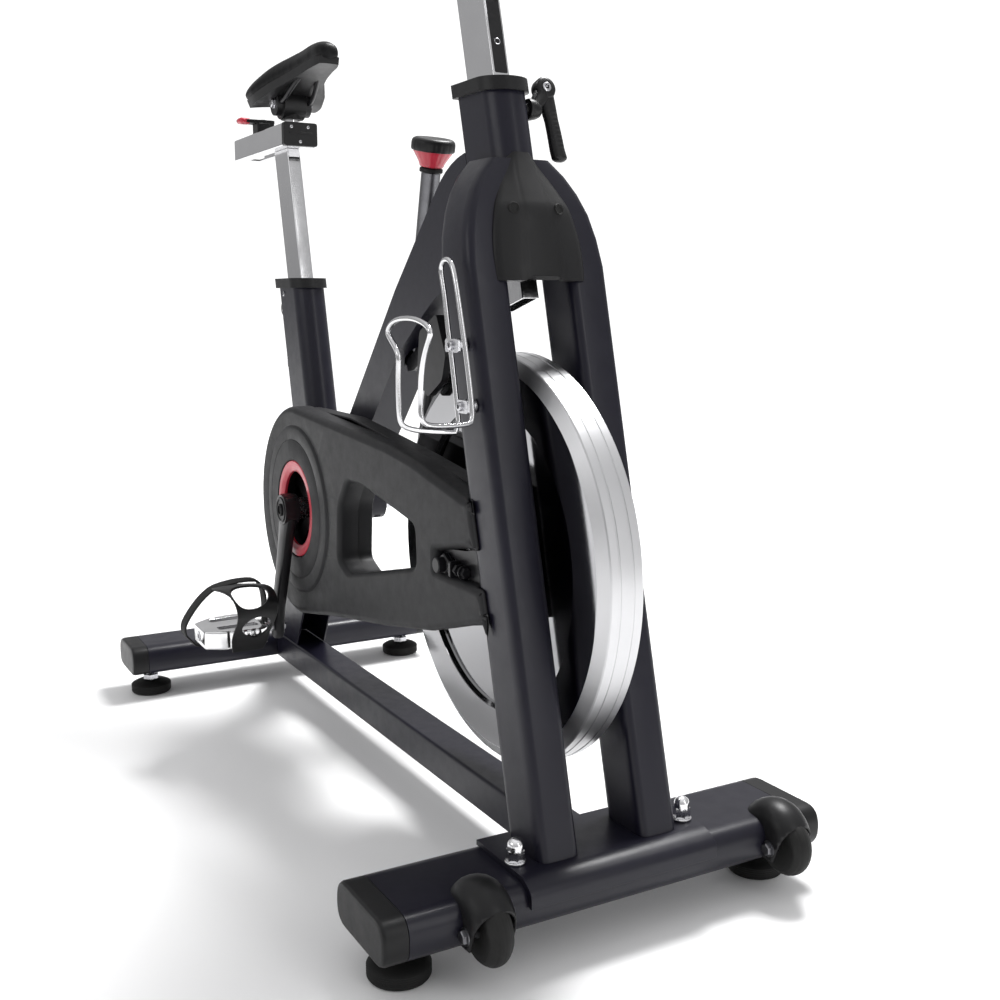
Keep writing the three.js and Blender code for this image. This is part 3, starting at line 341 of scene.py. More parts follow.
def inset(points, distance):
    """An outline moved towards its own inside; it runs counter-clockwise."""
    moved = []
    for i, point in enumerate(points):
        here = Vector(point)
        edge_in = (here - Vector(points[i - 1])).normalized()
        edge_out = (Vector(points[(i + 1) % len(points)]) - here).normalized()
        normal = Vector((-(edge_in.y + edge_out.y), edge_in.x + edge_out.x)).normalized()
        scale = 1 / max(0.5, math.sqrt((1 + edge_in.dot(edge_out)) / 2))
        moved.append(here + normal * distance * scale)
    return [(p.x, p.y) for p in moved]


def oval(centre, across, up, half_a, half_b, power=2.4, count=24):
    """A superellipse ring about centre; half sizes in millimetres."""
    ring = []
    for angle in angles(count):
        c, s = math.cos(angle), math.sin(angle)
        u = math.copysign(abs(c) ** (2 / power), c) * half_a * MM
        v = math.copysign(abs(s) ** (2 / power), s) * half_b * MM
        ring.append(centre + Vector(across) * u + Vector(up) * v)
    return ring


X, Y, Z = Vector((1, 0, 0)), Vector((0, 1, 0)), Vector((0, 0, 1))
SIDES = (("right", -1), ("left", 1))


def socket_screw(name, point, direction, radius, height, body, material=STEEL):
    """A cap screw with a hexagon socket."""
    place = along(point, direction)
    screw = Sculpt()
    screw.turn([[0, height * 0.35], [radius * 0.5, height * 0.35]], place, 6)
    screw.turn([[radius * 0.5, height * 0.35], [radius * 0.5, height], [radius * 0.8, height],
                [radius, height * 0.75], [radius, -0.5]], place, 24)
    return screw.make(name, body, material, sharp=40)


def hex_head(sculpt, place, radius, low, high):
    """A chamfered hexagon with a washer under it."""
    sculpt.turn([[0, high], [radius * 0.82, high], [radius, high - radius * 0.14], [radius, low]], place, 6)
    sculpt.turn([[radius * 0.9, low], [radius * 1.25, low], [radius * 1.25, low - radius * 0.2],
                 [0, low - radius * 0.2]], place, 32)
    return sculpt


# ---------------------------------------------------------------- CAD nodes that keep their shape

FINISHES = [  # material, edge radius in millimetres, nodes
    (PAINT, 1.0, ("front_stabilizer", "rear_stabilizer", "fork_leg_right", "fork_leg_left",
                  "front_base_plate", "floor_beam", "head_tube", "seat_tube", "diagonal_tube",
                  "rear_strut")), (DARK_PAINT, 0.9,
                                   ("crank_right", "crank_left", "axle_bracket_right", "axle_bracket_left",
                                    "brake_yoke")), (ZINC, 0.6, ("brake_rod",)),
    (PLASTIC, 0.8, ("front_left_end_cap", "front_right_end_cap", "rear_left_end_cap", "rear_right_end_cap",
                    "slider_end_cap", "saddle_clamp", "drive_pulley")),
    (PLASTIC, 1.2, ("head_collar", "seat_collar")), (GUARD, 1.2, ("guard_inner",)),
    (RUBBER, 0.4, ("drive_belt",)), (CHROME, 0.7,
                                     ("handlebar_post", "seat_post", "seat_slider", "handlebar_carriage")),
    (STEEL, 0.6, ("crank_axle", "flywheel_pulley"))]

for material, width, nodes in FINISHES:
    for node in nodes:
        dress(node, material, width)


# ---------------------------------------------------------------- feet

def levelling_foot(node):
    """A ribbed rubber pad on a threaded steel stem with its lock nut."""
    low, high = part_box(node)
    centre = Vector(((low.x + high.x) / 2, (low.y + high.y) / 2, 0))
    place = along(centre, Z)
    pad = Sculpt()
    profile = [[0, 0.0], [28.5, 0.0], [30.6, 0.8], [32.2, 3.0]]
    for rib in range(4):
        base = 4.2 + rib * 2.5
        profile += [[32.4, base], [31.5, base + 0.8], [31.5, base + 1.5], [32.4, base + 2.2]]
    profile += [[32.0, 14.4], [30.4, 15.8], [25.6, 18.2], [20.0, 19.6], [14.8, 20.6], [13.2, 21.4],
                [0, 21.4]]
    pad.turn(profile, place, 64)
    pad.make(node + "_pad", node, RUBBER, sharp=50, replaces=(node,))
    stem = Sculpt()
    stem.turn([[0, 31.6], [11.6, 31.6], [13.4, 30.2], [13.4, 22.8], [11.6, 21.5], [0, 21.5]], place, 6)
    thread = [[0, 31.0]]
    pitch = 1.8
    for turn_count in range(26):
        base = 31.6 + turn_count * pitch
        thread += [[5.3, base], [5.9, base + 0.9]]
    thread += [[5.3, 79.0], [0, 79.0]]
    stem.turn(thread, place, 24)
    stem.make(node + "_stem", node, STEEL, sharp=30)


for node in ("front_left_foot", "front_right_foot", "rear_left_foot", "rear_right_foot"):
    levelling_foot(node)


# ---------------------------------------------------------------- base plate nuts

NUT_TOP = 122  # height of the dome's top in the drawing


def dome_nut(node):
    """A washer, a hexagon and a bright dome."""
    low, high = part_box(node)
    centre = (low + high) / 2
    place = along(Vector((centre.x, centre.y, high.z - NUT_TOP * MM)), Z)
    nut = Sculpt()
    nut.turn([[0, 95.4], [10.6, 95.4], [11.0, 96.0], [11.0, 97.2], [10.4, 97.8], [0, 97.8]], place, 40)
    nut.turn([[0, 97.8], [9.2, 97.8], [9.6, 98.4], [9.6, 109.0], [8.6, 110.2], [0, 110.2]], place, 6)
    dome = [[8.6, 107.6]]
    for step in range(9):
        angle = math.radians(step * 90 / 8)
        dome.append([8.6 * math.cos(angle), 113.0 + 8.6 * math.sin(angle)])
    nut.turn([[0, 107.6], *dome], place, 40)
    nut.make(node + "_nut", "frame", ALLOY, sharp=32, replaces=(node,))


for node in ("base_plate_bolt_right", "base_plate_bolt_left"):
    dome_nut(node)


# ---------------------------------------------------------------- transport wheels and their hoods

HOOD_PROFILE = [  # radius, distance to the side
    (0, 24.6), (21, 24.6), (28, 24.0), (33.6, 22.0), (38.4, 18.0), (42, 12.8), (44.2, 6.6), (44.9, 0)]


def hood(side_name):
    """A smooth dome over the wheel, open at the front and below, with a bolt through its cheeks."""
    wheel = "transport_wheel_" + side_name
    housing = "wheel_housing_" + side_name
    low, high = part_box(wheel)
    axle = (low + high) / 2
    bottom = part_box(housing)[0].z
    centre = Vector((axle.x - 16 * MM, axle.y, axle.z + 1.5 * MM))
    skin = Sculpt()
    half = [*HOOD_PROFILE, *[(r, -y) for r, y in reversed(HOOD_PROFILE[:-1])]]
    skin.turn([[r, y] for r, y in half], along(centre, Y, X), 72)
    skin.cut(Vector((0, 0, bottom + 9 * MM)), -Z)
    lean = math.radians(20)
    skin.cut(Vector((axle.x + 11 * MM, 0, axle.z)), Vector((math.cos(lean), 0, -math.sin(lean))))
    skin.cut(Vector((axle.x - 46 * MM, 0, 0)), -X)
    skin.make(housing + "_hood", "frame", PLASTIC, sharp=60, solid=2.2, replaces=(housing,))
    bolt = Sculpt()
    for way, reach in ((-1, 25.4), (1, 25.2)):
        place = along(axle + Y * way * reach * MM, Y * way, Z)
        if way < 0:
            hex_head(bolt, place, 7.2, 0.8, 5.0)
        else:
            bolt.turn([[0, 1.6], [6.4, 1.6], [7.2, 0.8], [7.2, -0.5]], place, 32)
    bolt.turn([[0, -24], [4.4, -24], [4.4, 24], [0, 24]], along(axle, Y), 24)
    bolt.make(housing + "_bolt", "frame", ZINC, "bright_steel", sharp=30)


def transport_wheel(side_name):
    """A barrel-shaped tyre with three shallow grooves on a recessed hub."""
    node = "transport_wheel_" + side_name
    low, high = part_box(node)
    place = along((low + high) / 2, Y, X)
    outer = []
    for step in range(33):
        y = -13.0 + step * 26.0 / 32
        crown = 34.6 - 7.4 * abs(y / 13.0) ** 2.2
        groove = 0.25 if min(abs(abs(y) - 7.0), abs(y)) < 0.6 else 0.0
        outer.append([crown - groove, y])
    tyre = Sculpt()
    tyre.turn([[5.0, -12], [20, -12], [22, -13.2], [26.6, -13.3], *outer, [26.6, 13.3], [22, 13.2],
               [20, 12], [5.0, 12]], place, 72, loop=True)
    tyre.make(node + "_tyre", node, RUBBER, sharp=40, replaces=(node,))


for side_name, side in SIDES:
    hood(side_name)
    transport_wheel(side_name)


# ---------------------------------------------------------------- flywheel

def flywheel():
    """A heavy rim with a polished face on the right and an open dish on the left."""
    place = along(wheel_centre, Y, X)
    profile = [(12.0, -33.6), (27, -33.6), (29.6, -32.4), (30, -30), (30, -20.4), (60, -20.2),
               (60.5, -21.0), (63.5, -21.0), (64, -20.2), (170.5, -20.0), (173.0, -21.2), (175.6, -26.2),
               (176.4, -26.8), (218.6, -27.0), (220.4, -26.8), (233.8, -19.8), (235.0, -18.4),
               (235.0, -9.4), (234.4, -8.8), (234.4, -7.4), (235.0, -6.8), (235.0, 6.8), (234.4, 7.4),
               (234.4, 8.8), (235.0, 9.4), (235.0, 18.4), (233.8, 19.8), (220.4, 26.8), (218.6, 27.0),
               (209.4, 27.0), (207.8, 26.0), (205.2, 4.0), (203, -10), (198, -12), (120, -12), (116, -11),
               (80, -11), (76, -12), (40, -12), (34.6, -10), (34, 30), (32.4, 33.6), (12.0, 33.6)]
    wheel = Sculpt()
    wheel.turn(profile, place, 192, loop=True)
    piece = wheel.make("flywheel_disc", "flywheel", FACE, "polished_steel", sharp=14,
                       replaces=("flywheel",))
    piece.data.materials.append(RIM)
    rim_inner = 219.5 * MM
    for face in piece.data.polygons:
        offset = face.center - wheel_centre
        if math.hypot(offset.x, offset.z) > rim_inner:
            face.material_index = 1
    hub = Sculpt()
    for side in (-1, 1):
        ring = along(wheel_centre + Y * side * 33.8 * MM, Y * side, X)
        hub.turn([(11.5, 0), (20, 0), (20, 1.4), (18.5, 2.2), (13, 2.2), (11.5, 1.4)], ring, 40, loop=True)
    for angle in angles(6):
        spot = wheel_centre + (X * math.cos(angle) + Z * math.sin(angle)) * 49 * MM - Y * 20.4 * MM
        hex_head(hub, along(spot, -Y), 5.2, 0.8, 4.2)
    hub.make("flywheel_hub_bolts", "flywheel", STEEL, "bright_steel", sharp=30)


flywheel()


def axle_end(name, side):
    """Axle stub, nut and washer, and the belt tensioner's bolt in its lug, outside the bracket."""
    axle = Vector((wheel_centre.x, 0, wheel_centre.z))
    out = Y * side
    place = along(axle + out * 79.4 * MM, out, Z)
    nut = Sculpt()
    nut.turn([[0, 0], [13.2, 0], [13.2, 1.6], [0, 1.6]], place, 40)
    nut.turn([[0, 7.0], [11.2, 7.0], [13.0, 5.8], [13.0, 1.6], [0, 1.6]], place, 6)
    nut.turn([[0, 16.4], [7.6, 16.4], [8.7, 15.2], [8.7, 6], [0, 6]], place, 36)
    replaces = ("flywheel_axle",) if side > 0 else ()
    nut.make(f"flywheel_axle_nut_{name}", "frame", DARK_PAINT, sharp=30, replaces=replaces)
    tension = Sculpt()
    start = axle + Vector((14 * MM, side * 84.5 * MM, 0))
    tension.turn([[0, 0], [4.2, 0], [4.2, 34], [0, 34]], along(start, X, Y), 20)
    hex_head(tension, along(start + X * 34 * MM, X, Y), 6.6, 1.5, 6.0)
    tension.turn([[0, 0], [7.2, 0], [7.2, 5], [0, 5]], along(start + X * 19 * MM, X, Y), 6)
    lug = rounded([(-7.5, -9), (7.5, -9), (7.5, 9), (-7.5, 9)], 3)
    tension.prism(lug, along(start + X * 10 * MM, X, Y), 0, 5)
    tension.make(f"belt_tensioner_{name}", "frame", DARK_PAINT, sharp=30)


for side_name, side in SIDES:
    axle_end(side_name, side)
shaft = Sculpt()
shaft.turn([[0, -79], [8.8, -79], [8.8, 79], [0, 79]],
           along(Vector((wheel_centre.x, 0, wheel_centre.z)), Y, X), 32)
shaft.make("flywheel_axle_shaft", "frame", STEEL, "bright_steel")


# ---------------------------------------------------------------- crank hubs

CRANK_FACE = 115  # outer face of the crank's eye, from the middle of the bike


def crank_hub(side_name, side):
    """A recessed end disc with its socket bolt, in the crank's eye."""
    low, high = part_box("crank_axle")
    middle = (low + high) / 2
    middle.y = side * CRANK_FACE * MM
    place = along(middle, Y * side, Z)
    hub = Sculpt()
    hub.turn([[0, 0.3], [14.6, 0.3], [15.4, 1.4], [17.0, 1.6], [18.4, 0.8], [18.6, -0.6]], place, 48)
    hub.turn([[0, 1.0], [6.4, 1.0], [6.4, 3.0], [7.6, 3.4], [9.0, 2.4], [9.0, 0.2]], place, 32)
    hub.make(f"crank_{side_name}_end_disc", "crankset", PLASTIC, sharp=35)


for side_name, side in SIDES:
    crank_hub(side_name, side)


# ---------------------------------------------------------------- pedals

def plate(sculpt, loops, point, low, high):
    """A slab with holes and rounded edges; each loop is (outline, edge radius), the first is the outside."""
    bm = sculpt.bm
    faces = {1: [], -1: []}
    middle, half = (low + high) / 2, (high - low) / 2
    for outline, edge in loops:
        rings = []
        for way in (-1, 1):
            for k in (range(5) if way > 0 else range(4, -1, -1)):
                angle = math.pi / 2 * k / 4
                moved = inset(outline, edge * (1 - math.cos(angle)))
                height = middle + way * (half - edge * (1 - math.sin(angle)))
                rings.append([bm.verts.new(point(a, b, height)) for a, b in moved])
        for lower, upper in zip(rings, rings[1:]):
            for i in range(len(outline)):
                bm.faces.new((lower[i - 1], lower[i], upper[i], upper[i - 1]))
        faces[-1].append(rings[0])
        faces[1].append(rings[-1])
    for rims in faces.values():
        edges = [bm.edges.get((ring[i], ring[i - 1])) for ring in rims for i in range(len(ring))]
        bmesh.ops.triangle_fill(bm, edges=edges, use_beauty=True, use_dissolve=False)


def pedal(side_name, side):
    """A bright cast platform with two slots and fluted edges, on an axle barrel and a spindle."""
    node = "pedal_" + side_name
    low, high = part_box(node)
    centre = Vector(((low.x + high.x) / 2, 0, (low.z + high.z) / 2))

    def spot(u, y, w):
        return centre + Vector((u, side * y, w)) * MM

    def fluted(way):
        edge = []
        for k in range(49):
            y = 160 + k
            flute = 1.9 * abs(math.sin((y - 160) / 48 * math.pi * 4)) ** 3
            edge.append((way * (49.6 - 0.045 * (y - 172) ** 2 / 10 - flute), y))
        return edge

    tip = rounded([(43, 212), (29, 235), (-25, 235), (-43, 212)], 3, 3)[2:-2]
    outline = [*rounded([(-40, 147), (40, 147)], 0.01, 1), (45, 151), *fluted(1), *tip,
               *reversed(fluted(-1)), (-45, 151)]
    slots = [rounded([(u, 154), (u + 15, 154), (u + 15, 212), (u, 212)], 3, 4) for u in (-33, 13)]
    body = Sculpt()
    plate(body, [(outline, 3.2), *((list(reversed(slot)), 1.4) for slot in slots)], spot, -13.4, 13.4)
    body.turn([[0, 139], [11.4, 139], [13.2, 140.6], [13.2, 150], [0, 150]], along(centre, Y * side, X), 40)
    body.make(node + "_platform", node, ALLOY, sharp=32, replaces=(node,))
    spindle = Sculpt()
    spindle.turn([[0, 106.5], [6.3, 106.5], [6.3, 128], [8.6, 129], [8.6, 134], [7.0, 135], [7.0, 143],
                  [0, 143]], along(centre, Y * side, X), 32)
    spindle.turn([[0, 232], [8.0, 232], [8.0, 235.4], [6.8, 236.0], [3.2, 236.0], [3.2, 234.6], [0, 234.6]],
                 along(centre, Y * side, X), 32)
    spindle.make(node + "_spindle", node, STEEL, sharp=32)
    lining = Sculpt()
    for u in (-25.5, 20.5):
        lining.prism(rounded([(u - 7.6, 153.5), (u + 7.6, 153.5), (u + 7.6, 212.5), (u - 7.6, 212.5)], 3),
                     Matrix.Translation(centre) @ Matrix.Diagonal((1, side, 1, 1)), -9.5, 1.5)
    lining.make(node + "_slot_inserts", node, RUBBER, sharp=40)
    toe_clip(side_name, spot)


CLIP_PATH = [  # forward, up
    (52.4, -16), (53, -4), (56, 9), (66, 22), (79, 35), (90, 50), (90, 65), (78, 75), (58, 78), (30, 75),
    (2, 70)]
CLIP_EDGES = [  # share of the way up, outer edge, inner edge
    (0.0, 202, 158), (0.08, 203, 150), (0.2, 201, 147), (0.36, 202, 146), (0.55, 209, 146),
    (0.72, 217, 148), (0.88, 219, 152), (1.0, 214, 162)]
CLIP_HOLES = [(44, 170.5, 24, 20.5), (110, 182, 27, 25)]  # way along, distance to the side, half sizes


def toe_clip(side_name, spot):
    """A moulded cage with two large openings that rises from the pedal's front, and its strap."""
    path = spline([Vector(p) for p in CLIP_PATH], 10)
    lengths = [0.0]
    for before, after in zip(path, path[1:]):
        lengths.append(lengths[-1] + (after - before).length)
    total = lengths[-1]
    edges = spline([Vector(e) for e in CLIP_EDGES], 8)
    cage = Sculpt()
    verts, columns = [], 40
    for point, run in zip(path, lengths):
        share = run / total
        outer, inner = min(edges, key=lambda e: abs(e.x - share))[1:]
        row = []
        for c in range(columns + 1):
            y = inner + (outer - inner) * c / columns
            u, w = point
            crown = 5.0 * (2 * c / columns - 1) ** 2 * min(1.0, share * 2)
            row.append([u - crown * 0.4, y, w - crown * 0.6, run])
        verts.append(row)

    def inside(y, run, grow=1.0):
        near = [h for h in CLIP_HOLES if math.hypot((run - h[0]) / h[2], (y - h[1]) / h[3]) < grow]
        return near[0] if near else None

    kept = set()
    for r in range(len(verts) - 1):
        for c in range(columns):
            corners = (verts[r][c], verts[r][c + 1], verts[r + 1][c + 1], verts[r + 1][c])
            if not inside(sum(v[1] for v in corners) / 4, sum(v[3] for v in corners) / 4):
                kept.add((r, c))
    points = {}
    for r, c in kept:
        for key in ((r, c), (r, c + 1), (r + 1, c + 1), (r + 1, c)):
            if key in points:
                continue
            u, y, w, run = verts[key[0]][key[1]]
            around = [(key[0] - a, key[1] - b) in kept for a in (0, 1) for b in (0, 1)]
            hole = inside(y, run, 1.25)
            rim = 0 < key[0] < len(verts) - 1 and 0 < key[1] < columns and not all(around)
            if rim and hole:
                reach = math.hypot((run - hole[0]) / hole[2], (y - hole[1]) / hole[3])
                y = hole[1] + (y - hole[1]) / reach
                moved = hole[0] + (run - hole[0]) / reach
                k = min(range(len(lengths)), key=lambda i: abs(lengths[i] - moved))
                k = min(max(k, 1), len(path) - 2)
                slope = (path[k + 1] - path[k - 1]).normalized()
                shifted = path[k] + slope * (moved - lengths[k])
                u, w = u + shifted.x - path[key[0]].x, w + shifted.y - path[key[0]].y
            points[key] = cage.bm.verts.new(spot(u, y, w))
    for r, c in sorted(kept):
        cage.bm.faces.new([points[key] for key in ((r, c), (r, c + 1), (r + 1, c + 1), (r + 1, c))])
    node = "toe_clip_" + side_name
    body = "pedal_" + side_name
    piece = cage.make(node + "_cage", body, PLASTIC, sharp=60, replaces=(node,))
    relax = piece.modifiers.new("relax", "SMOOTH")
    relax.factor, relax.iterations = 0.4, 3
    shell = piece.modifiers.new("wall", "SOLIDIFY")
    shell.thickness, shell.offset = 3.2 * MM, 0
    strap = Sculpt()
    loop = [(-239, -9), (-244, -8), (-251, 0), (-258, 10), (-257, 24), (-244, 44), (-228, 61), (-212, 71),
            (-188, 76), (-166, 77), (-151, 74), (-143, 62), (-139.5, 42), (-139.5, 18), (-140, 12)]
    ribbon = spline([spot(8, -y, w) for y, w in loop], 8)
    strap.skin([oval(here, X, X.cross((after - before).normalized()), 13.0, 1.6, 3.6, 20)
                for before, here, after in zip(ribbon, ribbon[1:], ribbon[2:])])
    strap.make(node + "_strap", body, RUBBER, sharp=60)


for side_name, side in SIDES:
    pedal(side_name, side)


# ---------------------------------------------------------------- crown cover

COVER_ROWS = [  # height, half width, front of the middle, crease
    (813, 12.5, 344, 9), (804, 19, 348.5, 11), (792, 26.5, 355, 13), (779, 33.5, 362.5, 14.4),
    (766, 40, 370, 15.6), (752, 46, 377.5, 16.8), (730, 51.5, 384, 19.2), (709, 54.4, 389.5, 21.4),
    (690, 54.8, 394, 23.2), (676, 54, 397, 24.4)]


def crown_cover():
    """A shroud like a pointed arch, with two creases that fan out from its top, and two screw wells."""
    rows = spline([Vector(row) for row in COVER_ROWS], 4)
    side_steps = [-1.0, -0.97, *[-1 + k / 20 for k in range(1, 40)], 0.97, 1.0]
    grid = []
    for number, (height, half, front, crease) in enumerate(rows):
        row = []
        for s in side_steps:
            y = s * half
            beyond = max(0.0, (abs(y) - crease) / max(half - crease, 1))
            back = 1.0 * min(1.0, abs(y) / crease) ** 2 + 7.6 * beyond ** 1.25
            back += 2.2 * max(0.0, (abs(s) - 0.9) / 0.1) ** 2
            back += 0.6 * math.exp(-((abs(y) - crease) / 1.5) ** 2)
            lift = 3.5 * max(0.0, 1 - (s / 0.45) ** 4) if number == len(rows) - 1 else 0.0
            row.append(at(front - back, y, height + lift))
        edge = row[0], row[-1]
        row.insert(0, edge[0] + Vector((-0.012, -0.0008, 0)))
        row.append(edge[1] + Vector((-0.012, 0.0008, 0)))
        grid.append(row)
    grid.append([point + Vector((-0.010, 0, -0.0012)) for point in grid[-1]])
    grid.insert(0, [point + Vector((-0.008, 0, 0.001)) for point in grid[0]])
    cover = Sculpt()
    verts = [[cover.bm.verts.new(p) for p in row] for row in grid]
    for lower, upper in zip(verts, verts[1:]):
        for c in range(len(lower) - 1):
            cover.bm.faces.new((lower[c], lower[c + 1], upper[c + 1], upper[c]))
    cover.make("crown_shroud", "frame", PLASTIC, sharp=48, solid=2.0, replaces=("crown_cover",))
    for name, side in SIDES:
        spot = at(375.2, side * 28, 752)
        out = Vector((0.94, side * 0.22, 0.24))
        recess = Sculpt()
        recess.turn([[0, -0.2], [4.2, -0.2], [4.8, 0.7], [5.6, 0.9], [6.2, 0.1], [6.3, -1.6]],
                    along(spot, out), 32)
        recess.make("crown_screw_" + name, "frame", RUBBER, sharp=32)


crown_cover()


# ---------------------------------------------------------------- resistance knob

KNOB_PLACE = along(at(126, 0, 833), Vector((0.2288, 0, 0.9735)), X)


def knob():
    """A black fluted cap over a red skirt, on the brake rod."""

    def flutes(angle, height):
        return 1 - 0.018 * (0.5 + 0.5 * math.cos(angle * 18)) ** 3 if 5 < height < 14 else 1.0

    def ribs(angle, height):
        return 1 - 0.018 * (0.5 + 0.5 * math.cos(angle * 16)) ** 2 if -14 < height < 3 else 1.0

    skirt = Sculpt()
    skirt.turn([[0, -15.4], [13.8, -15.4], [14.8, -14.6], [16.0, -11], [18.2, -7], [20.8, -3], [23.0, 0.4],
                [24.4, 2.6], [24.6, 4.0], [0, 4.4]], KNOB_PLACE, 144, bumps=ribs)
    skirt.make("knob_skirt", "resistance_knob", RED, sharp=60, replaces=("resistance_knob",))
    cap = Sculpt()
    cap.turn([[0, 3.4], [24.8, 3.4], [26.4, 4.0], [27.2, 5.6], [27.2, 9], [27.2, 12.5], [26.7, 15.2],
              [25.2, 17.5], [22.4, 18.9], [18.8, 19.1], [14.5, 18.2], [8, 17.7], [0, 17.5]], KNOB_PLACE,
             180, bumps=flutes)
    cap.turn([[0, -22.2], [13.2, -22.2], [14.5, -21.2], [14.5, -17.4], [13.6, -16.6], [0, -16.6]],
             KNOB_PLACE, 48)
    cap.make("knob_cap", "resistance_knob", PLASTIC, sharp=50)


knob()


# ---------------------------------------------------------------- levers

def clamp_lever(node, hub, out, down, face, reach, rise, length):
    """A hub on its stud, a neck up to a round eye with a bright screw, and a finely ribbed handle."""
    out, down, face = (Vector(v).normalized() for v in (out, down, face))
    eye = hub + out * reach * MM - down * rise * MM
    boss = Sculpt()
    boss.turn([[0, -1], [6.2, -1], [6.2, 2], [11.4, 2.6], [12.0, 5], [11.2, 9], [10.4, reach * 0.45],
               [8.0, reach * 0.62], [0, reach * 0.7]], along(hub, out, face), 40)
    boss.make(node + "_hub", node, PLASTIC, sharp=40, replaces=(node,))
    neck = spline([hub + out * (reach * 0.3) * MM, hub + out * (reach * 0.66) * MM - down * rise * 0.4 * MM,
                   eye], 8)
    handle = Sculpt()
    sections = [oval(point, face, down.cross(face), 9.6 - 1.8 * k / 16, 10.6, 2.2, 28)
                for k, point in enumerate(neck)]
    handle.skin(sections)
    handle.turn([[0, -7.6], [10.4, -7.6], [12.2, -6.4], [12.8, -4.4], [12.8, 4.6], [12.0, 6.6], [10.0, 7.8],
                 [6.4, 8.0], [6.0, 6.8], [0, 6.8]], along(eye, face, down), 48)
    rings = []
    steps = 72
    for k in range(steps + 1):
        t = k / steps
        tip = math.sqrt(max(0.0, 1 - ((t - 0.94) / 0.0601) ** 2)) if t > 0.94 else 1.0
        width = (11.0 - 3.6 * min(1, t * 2.4) + 1.6 * t) * tip
        thick = (6.4 - 0.8 * min(1, t * 3) + 0.8 * t) * tip
        if 0.3 < t < 0.86:
            thick -= 0.3 * (0.5 + 0.5 * math.cos(t * length * 2 * math.pi / 5.2))
        bend = 2.0 * math.sin(math.pi * min(t * 1.2, 1)) + 8.0 * t ** 1.5
        spot = eye + (down * (2 + t * (length - 2)) + out * bend) * MM
        rings.append(oval(spot, out, face, width, thick, 2.6, 32))
    handle.skin(rings)
    handle.make(node + "_handle", node, PLASTIC, sharp=60)
    socket_screw(node + "_screw", eye + face * 6.8 * MM, face, 5.4, 2.2, node)


clamp_lever("head_clamp_lever", at(306.9, 25.3, 864), Y, (0.29, 0, -0.957), (0.957, 0, 0.29),
            reach=28, rise=25, length=84)
clamp_lever("seat_clamp_lever", at(-376.8, 0, 634), (-0.9735, 0, -0.2288), (0.2288, 0, -0.9735), -Y,
            reach=40, rise=18, length=98)


def slider_lever(node):
    """A black bracket with a thin turned-over plate and a red finger tip."""
    low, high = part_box(node)
    x = (low.x + high.x) / 2
    base = high.z - 27.5 * MM
    bracket = Sculpt()
    walls = rounded([(-14.6, -14.6), (14.6, -14.6), (14.6, 14.6), (-14.6, 14.6)], 3)
    place = along(Vector((x, 0, base)), Z, X)
    bracket.prism(walls, place, 0.1, 19.2)
    bracket.prism(rounded([(-15, 15.5), (15, 15.5), (12.5, -34), (-12.5, -34)], 4), place, 19.0, 24.6)
    bracket.turn([[0, 26.4], [5.6, 26.4], [6.6, 25.6], [6.8, 24.2]], place, 32)
    bracket.make(node + "_bracket", node, PLASTIC, bevel=0.9, replaces=(node,))
    tip = Sculpt()
    rings = []
    for k in range(13):
        t = k / 12
        y = -27 - 17.0 * t
        width = 12.2 - 0.5 * t - 5.0 * max(0, t - 0.75) ** 2 * 16
        thick = 4.9 - 3.2 * max(0, t - 0.8) * 5 * 0.8
        rings.append(oval(Vector((x, y * MM, base + 22.3 * MM)), X, Z, max(width, 3), thick, 3.2, 28))
    tip.skin(rings)
    tip.make(node + "_tip", node, RED, sharp=60)


for node in ("seat_slider_lever", "handlebar_slider_lever"):
    slider_lever(node)


# ---------------------------------------------------------------- seat and handlebar posts

HEAD_LEAN, SEAT_LEAN = 0.27, 0.235  # backward shift for each millimetre up
POST_SETBACK, POST_HALF_DEPTH = 9, 31


def post_front(x, z, lean, height):
    """The front of a leaning post at a height; the tube that holds it is centred on x at z."""
    return at(x - POST_SETBACK - lean * (height - z) + POST_HALF_DEPTH, 0, height)


def post_details():
    """A dark strip with a screw on the front post, a stop line on the seat post, and the small screws."""
    lean = Vector((-HEAD_LEAN, 0, 1)).normalized()
    out = Vector((lean.z, 0, -lean.x))
    strip = Sculpt()
    middle = post_front(282, 882, HEAD_LEAN, 950)
    strip.prism(rounded([(-8, -50), (8, -50), (8, 50), (-8, 50)], 2), along(middle, out, Y), -0.6, 0.25)
    strip.make("handlebar_post_strip", "handlebar_post", PLASTIC, sharp=30)
    screw = Sculpt()
    screw.turn([[0, 0.1], [2.6, 0.1], [3.4, 0.5], [3.9, 0.2]], along(middle - lean * 14 * MM, out), 24)
    screw.make("handlebar_post_screw", "handlebar_post", STEEL)
    lean = Vector((-SEAT_LEAN, 0, 1)).normalized()
    out = Vector((lean.z, 0, -lean.x))
    line = Sculpt()
    spot = post_front(-344, 683, SEAT_LEAN, 878)
    line.prism(rounded([(-8.8, -1.5), (8.8, -1.5), (8.8, 1.5), (-8.8, 1.5)], 0.6), along(spot, out, Y),
               -0.5, 0.22)
    line.make("seat_post_stop_line", "seat_post", DARK_PAINT, sharp=30)
    cap_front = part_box("slider_end_cap")[1].x
    for k, (y, z) in enumerate(((-15, 921), (12, 921), (-1, 899))):
        socket_screw(f"slider_cap_screw_{k}", Vector((cap_front, y * MM, z * MM)), X, 2.4, 1.1, "seat_slider")
    ledge = Sculpt()
    ledge.prism(rounded([(-19, -1.4), (19, -1.4), (19, 1.4), (-19, 1.4)], 1.0),
                along(Vector((cap_front, 0, 912 * MM)), X, Y), -1, 1.0)
    ledge.make("slider_cap_ledge", "seat_slider", PLASTIC, bevel=0.4)
    socket_screw("seat_tube_screw", at(-364, -25.0, 666), -Y, 4.0, 1.6, "frame")


post_details()


# ---------------------------------------------------------------- saddle

